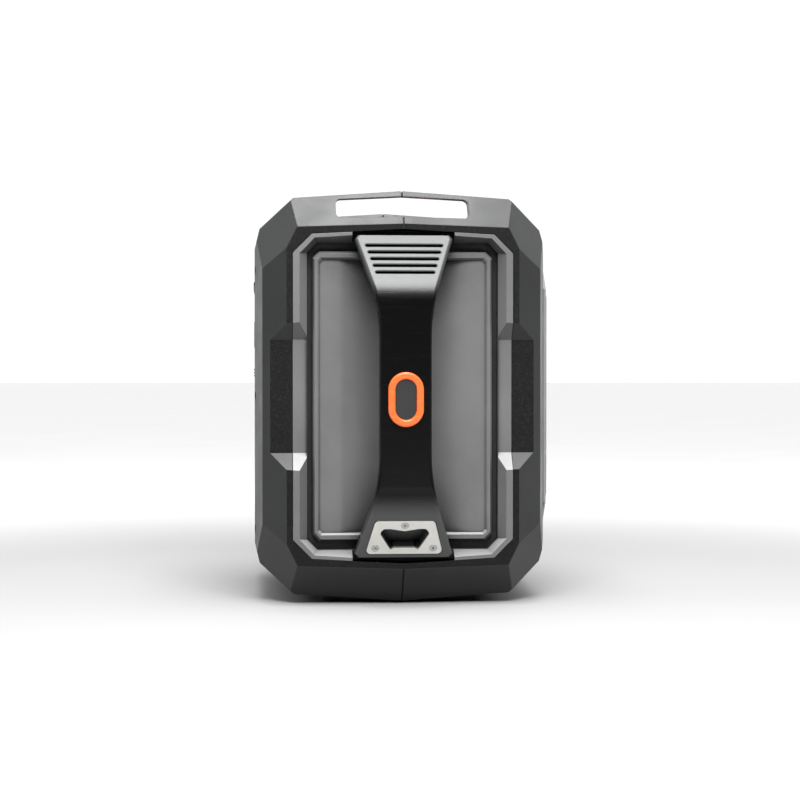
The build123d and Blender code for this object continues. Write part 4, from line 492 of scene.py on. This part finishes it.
def pan_mesh():
    """Pressed frame of the grille."""
    verts, faces = [], []
    for margin, y in PAN:
        verts += [at(x, y, z) for x, z in octagon(margin)]
    rows, count = len(PAN), 8
    for i in range(rows):
        for j in range(count):
            a, b = i * count + j, i * count + (j + 1) % count
            k = (i + 1) % rows * count
            faces.append([a, b, k + (j + 1) % count, k + j])
    return closed_mesh("grille_frame", verts, faces)


def inside_octagon(x, z, margin):
    half_x, half_z = GRILLE_HALF[0] - margin, GRILLE_HALF[1] - margin
    chamfer = GRILLE_CHAMFER - margin * OCTAGON_INSET
    return abs(x) <= half_x and abs(z) <= half_z and abs(x) + abs(z) <= half_x + half_z - chamfer


def sheet_mesh():
    """Perforated sheet: six-sided cells, each with a round hole."""
    cell = HOLE_PITCH / math.sqrt(3)
    front, back = SHEET_DEPTH
    rim, hole, steps = [], [], 12
    for i in range(steps):
        a = math.pi / steps * 2 * i
        reach = HOLE_PITCH / 2 / math.cos((a + math.pi / 6) % (math.pi / 3) - math.pi / 6)
        rim.append((min(reach, cell) * math.cos(a), min(reach, cell) * math.sin(a)))
        hole.append((HOLE_R * math.cos(a), HOLE_R * math.sin(a)))
    verts, faces = [], []
    row_rise = HOLE_PITCH * math.sqrt(3) / 2
    rows = int(GRILLE_HALF[1] / row_rise) + 1
    columns = int(GRILLE_HALF[0] / HOLE_PITCH) + 1
    for row in range(-rows, rows + 1):
        for column in range(-columns, columns + 1):
            x, z = (column + (row % 2) / 2) * HOLE_PITCH, row * row_rise
            if not inside_octagon(x, z, SHEET_MARGIN):
                continue
            start = len(verts)
            for outline, y in ((rim, front), (hole, front), (hole, back), (rim, back)):
                verts += [at(x + u, y, z + v) for u, v in outline]
            for ring in range(3):
                for i in range(steps):
                    a, b = start + ring * steps + i, start + ring * steps + (i + 1) % steps
                    faces.append([a, b, b + steps, a + steps])
    return closed_mesh("grille_sheet", verts, faces, weld=0.00002)


def add_grille():
    paint = moulded("grille_powder", 0.025, 0.5, grain=1200.0, depth=0.00008, wear=0.5)
    frame_piece = piece("grille_frame", pan_mesh(), paint, "pack")
    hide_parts("grille")
    piece("grille_sheet", sheet_mesh(), paint, "pack")


BEZEL_SCREWS = [(0, 123.4), (0, -123.4), (101.4, 55), (101.4, -55), (-101.4, 55), (-101.4, -55)]
BEZEL_FACE_Y = -141.0
BEZEL_HEAD_R = 2.4
BEZEL_SOCKET_R = 1.3
BEZEL_HEAD_RISE = (-0.2, 0.1, 0.4)   # foot, floor of the socket, top


def add_bezel_screws():
    """Small socket heads that hold the bezel."""
    steel = metal("bezel_screw_steel", 0.3, 0.35)
    rim, socket = disc(BEZEL_HEAD_R), disc(BEZEL_SOCKET_R)
    middle = len(rim) // 2
    halves = [rim[:middle + 1] + socket[:middle + 1][::-1],
              rim[middle:] + rim[:1] + socket[:1] + socket[middle:][::-1]]
    foot, floor, top = BEZEL_HEAD_RISE
    shapes = []
    for x, z in BEZEL_SCREWS:
        def place(u, v, h, x=x, z=z):
            return at(x + u, BEZEL_FACE_Y - h, z + v)
        shapes.append((rim, foot, floor, place))
        shapes += [(half, floor, top, place) for half in halves]
    piece("bezel_screw_heads", solid_mesh("bezel_screw_heads", shapes), steel, "pack")


DOOR_FACE_Y = 137.0
GRIP_RIDGES = 3
GRIP_RIDGE = (14.0, 0.7)
GRIP_FIRST_Z = 19.0
GRIP_PITCH = 3.0
GRIP_HIGH = 0.7
DOOR_MARK_Z = 60.0
DOOR_MARK_HIGH = 0.5
DOOR_MARK_RING = (13.0, 1.4)         # radius and width of the broken ring
DOOR_BOLT_SCALE = 2.0
DOOR_SINK = -0.2


def add_door_detail():
    """Grip ridges and a raised charge mark on the door."""
    door = moulded("door_mark_plastic", 0.06, 0.4)

    def place(u, v, h):
        return at(-u, DOOR_FACE_Y + h, v)

    ridges = [(bar_shape(*GRIP_RIDGE, 0, GRIP_FIRST_Z + GRIP_PITCH * i), DOOR_SINK, GRIP_HIGH, place)
              for i in range(GRIP_RIDGES)]
    piece("door_grip", solid_mesh("door_grip", ridges), door, "door")
    outlines = [[(u * DOOR_BOLT_SCALE, v * DOOR_BOLT_SCALE) for u, v in BOLT]]
    outlines += [arc_band(*DOOR_MARK_RING, 20 + 90 * i, 70 + 90 * i) for i in range(4)]
    marks = [([(u, v + DOOR_MARK_Z) for u, v in outline], DOOR_SINK, DOOR_MARK_HIGH, place)
             for outline in outlines]
    piece("door_mark", solid_mesh("door_mark", marks), moulded("mark_paint", 0.5, 0.5, wear=0.2), "door")


# ---------------------------------------------------------------- studio

def add_camera():
    data = bpy.data.cameras.new("camera")
    camera = bpy.data.objects.new("camera", data)
    bpy.context.collection.objects.link(camera)
    forward = Vector((math.cos(CAMERA_YAW) * math.cos(CAMERA_PITCH),
                      math.sin(CAMERA_YAW) * math.cos(CAMERA_PITCH), -math.sin(CAMERA_PITCH)))
    camera.location = CAMERA_TARGET - forward * CAMERA_DISTANCE
    camera.rotation_mode = "QUATERNION"
    camera.rotation_quaternion = forward.to_track_quat("-Z", "Y")
    data.lens = CAMERA_LENS
    data.sensor_width = 36.0
    bpy.context.scene.camera = camera


def add_floor():
    mesh = bpy.data.meshes.new("floor")
    corners = [(x, y, 0) for x, y in bar_shape(FLOOR_HALF, FLOOR_HALF)]
    mesh.from_pydata(corners, [], [(0, 1, 2, 3)])
    floor = bpy.data.objects.new("floor", mesh)
    bpy.context.collection.objects.link(floor)
    r = Recipe("floor_paint")
    place = r.node("ShaderNodeSeparateXYZ")
    r.put(place.inputs[0], r.place)
    away = r.node("ShaderNodeVectorMath", operation="LENGTH")
    r.put(away.inputs[0], r.place)
    paint = r.blend(r.span(away.outputs["Value"], *FLOOR_SPREAD), FLOOR_NEAR, FLOOR_FAR)
    paint = r.math("MULTIPLY", paint, r.span(place.outputs["X"], *FLOOR_DARK_SIDE))
    paint = r.math("MULTIPLY", paint, r.span(r.noise(3.0, 4.0), 0.3, 0.7, 0.99, 1.01))
    shade = r.node("ShaderNodeCombineXYZ")
    for socket in shade.inputs:
        r.put(socket, paint)
    r.surface(base_color=shade.outputs[0], roughness=0.8)
    mesh.materials.append(r.material)


def add_light(name, place, aim, size, power):
    data = bpy.data.lights.new(name, "AREA")
    data.shape = "RECTANGLE"
    data.size, data.size_y = size
    data.energy = power
    light = bpy.data.objects.new(name, data)
    light.location = place
    light.rotation_mode = "QUATERNION"
    light.rotation_quaternion = (Vector(aim) - Vector(place)).to_track_quat("-Z", "Y")
    bpy.context.collection.objects.link(light)


def add_studio():
    """White behind the pack and overhead, dim towards the camera."""
    world = bpy.data.worlds.new("studio")
    bpy.context.scene.world = world
    world.use_nodes = True
    tree = world.node_tree
    tree.nodes.clear()

    def ranged(source, values):
        made = tree.nodes.new("ShaderNodeMapRange")
        made.interpolation_type = "SMOOTHSTEP"
        for i, value in enumerate(values):
            made.inputs[i + 1].default_value = value
        tree.links.new(source, made.inputs[0])
        return made.outputs[0]

    direction = tree.nodes.new("ShaderNodeTexCoord")
    parts = tree.nodes.new("ShaderNodeSeparateXYZ")
    tree.links.new(direction.outputs["Generated"], parts.inputs[0])
    backdrop = ranged(parts.outputs["X"], BACKDROP_RANGE)
    overhead = ranged(parts.outputs["Z"], OVERHEAD_RANGE)
    brightest = tree.nodes.new("ShaderNodeMath")
    brightest.operation = "MAXIMUM"
    tree.links.new(backdrop, brightest.inputs[0])
    tree.links.new(overhead, brightest.inputs[1])
    sky = tree.nodes.new("ShaderNodeBackground")
    sky.inputs["Color"].default_value = (1.0, 1.0, 1.0, 1.0)
    tree.links.new(brightest.outputs[0], sky.inputs["Strength"])
    out = tree.nodes.new("ShaderNodeOutputWorld")
    tree.links.new(sky.outputs[0], out.inputs[0])
    for name, place, aim, size, power in SOFT_BOXES:
        add_light(name, place, aim, size, power)


bpy.context.scene.view_settings.view_transform = "Standard"
add_camera()
add_studio()
add_floor()
dress_cad()
add_icons()
add_gauge_lamps()
add_grille()
add_bezel_screws()
add_door_detail()
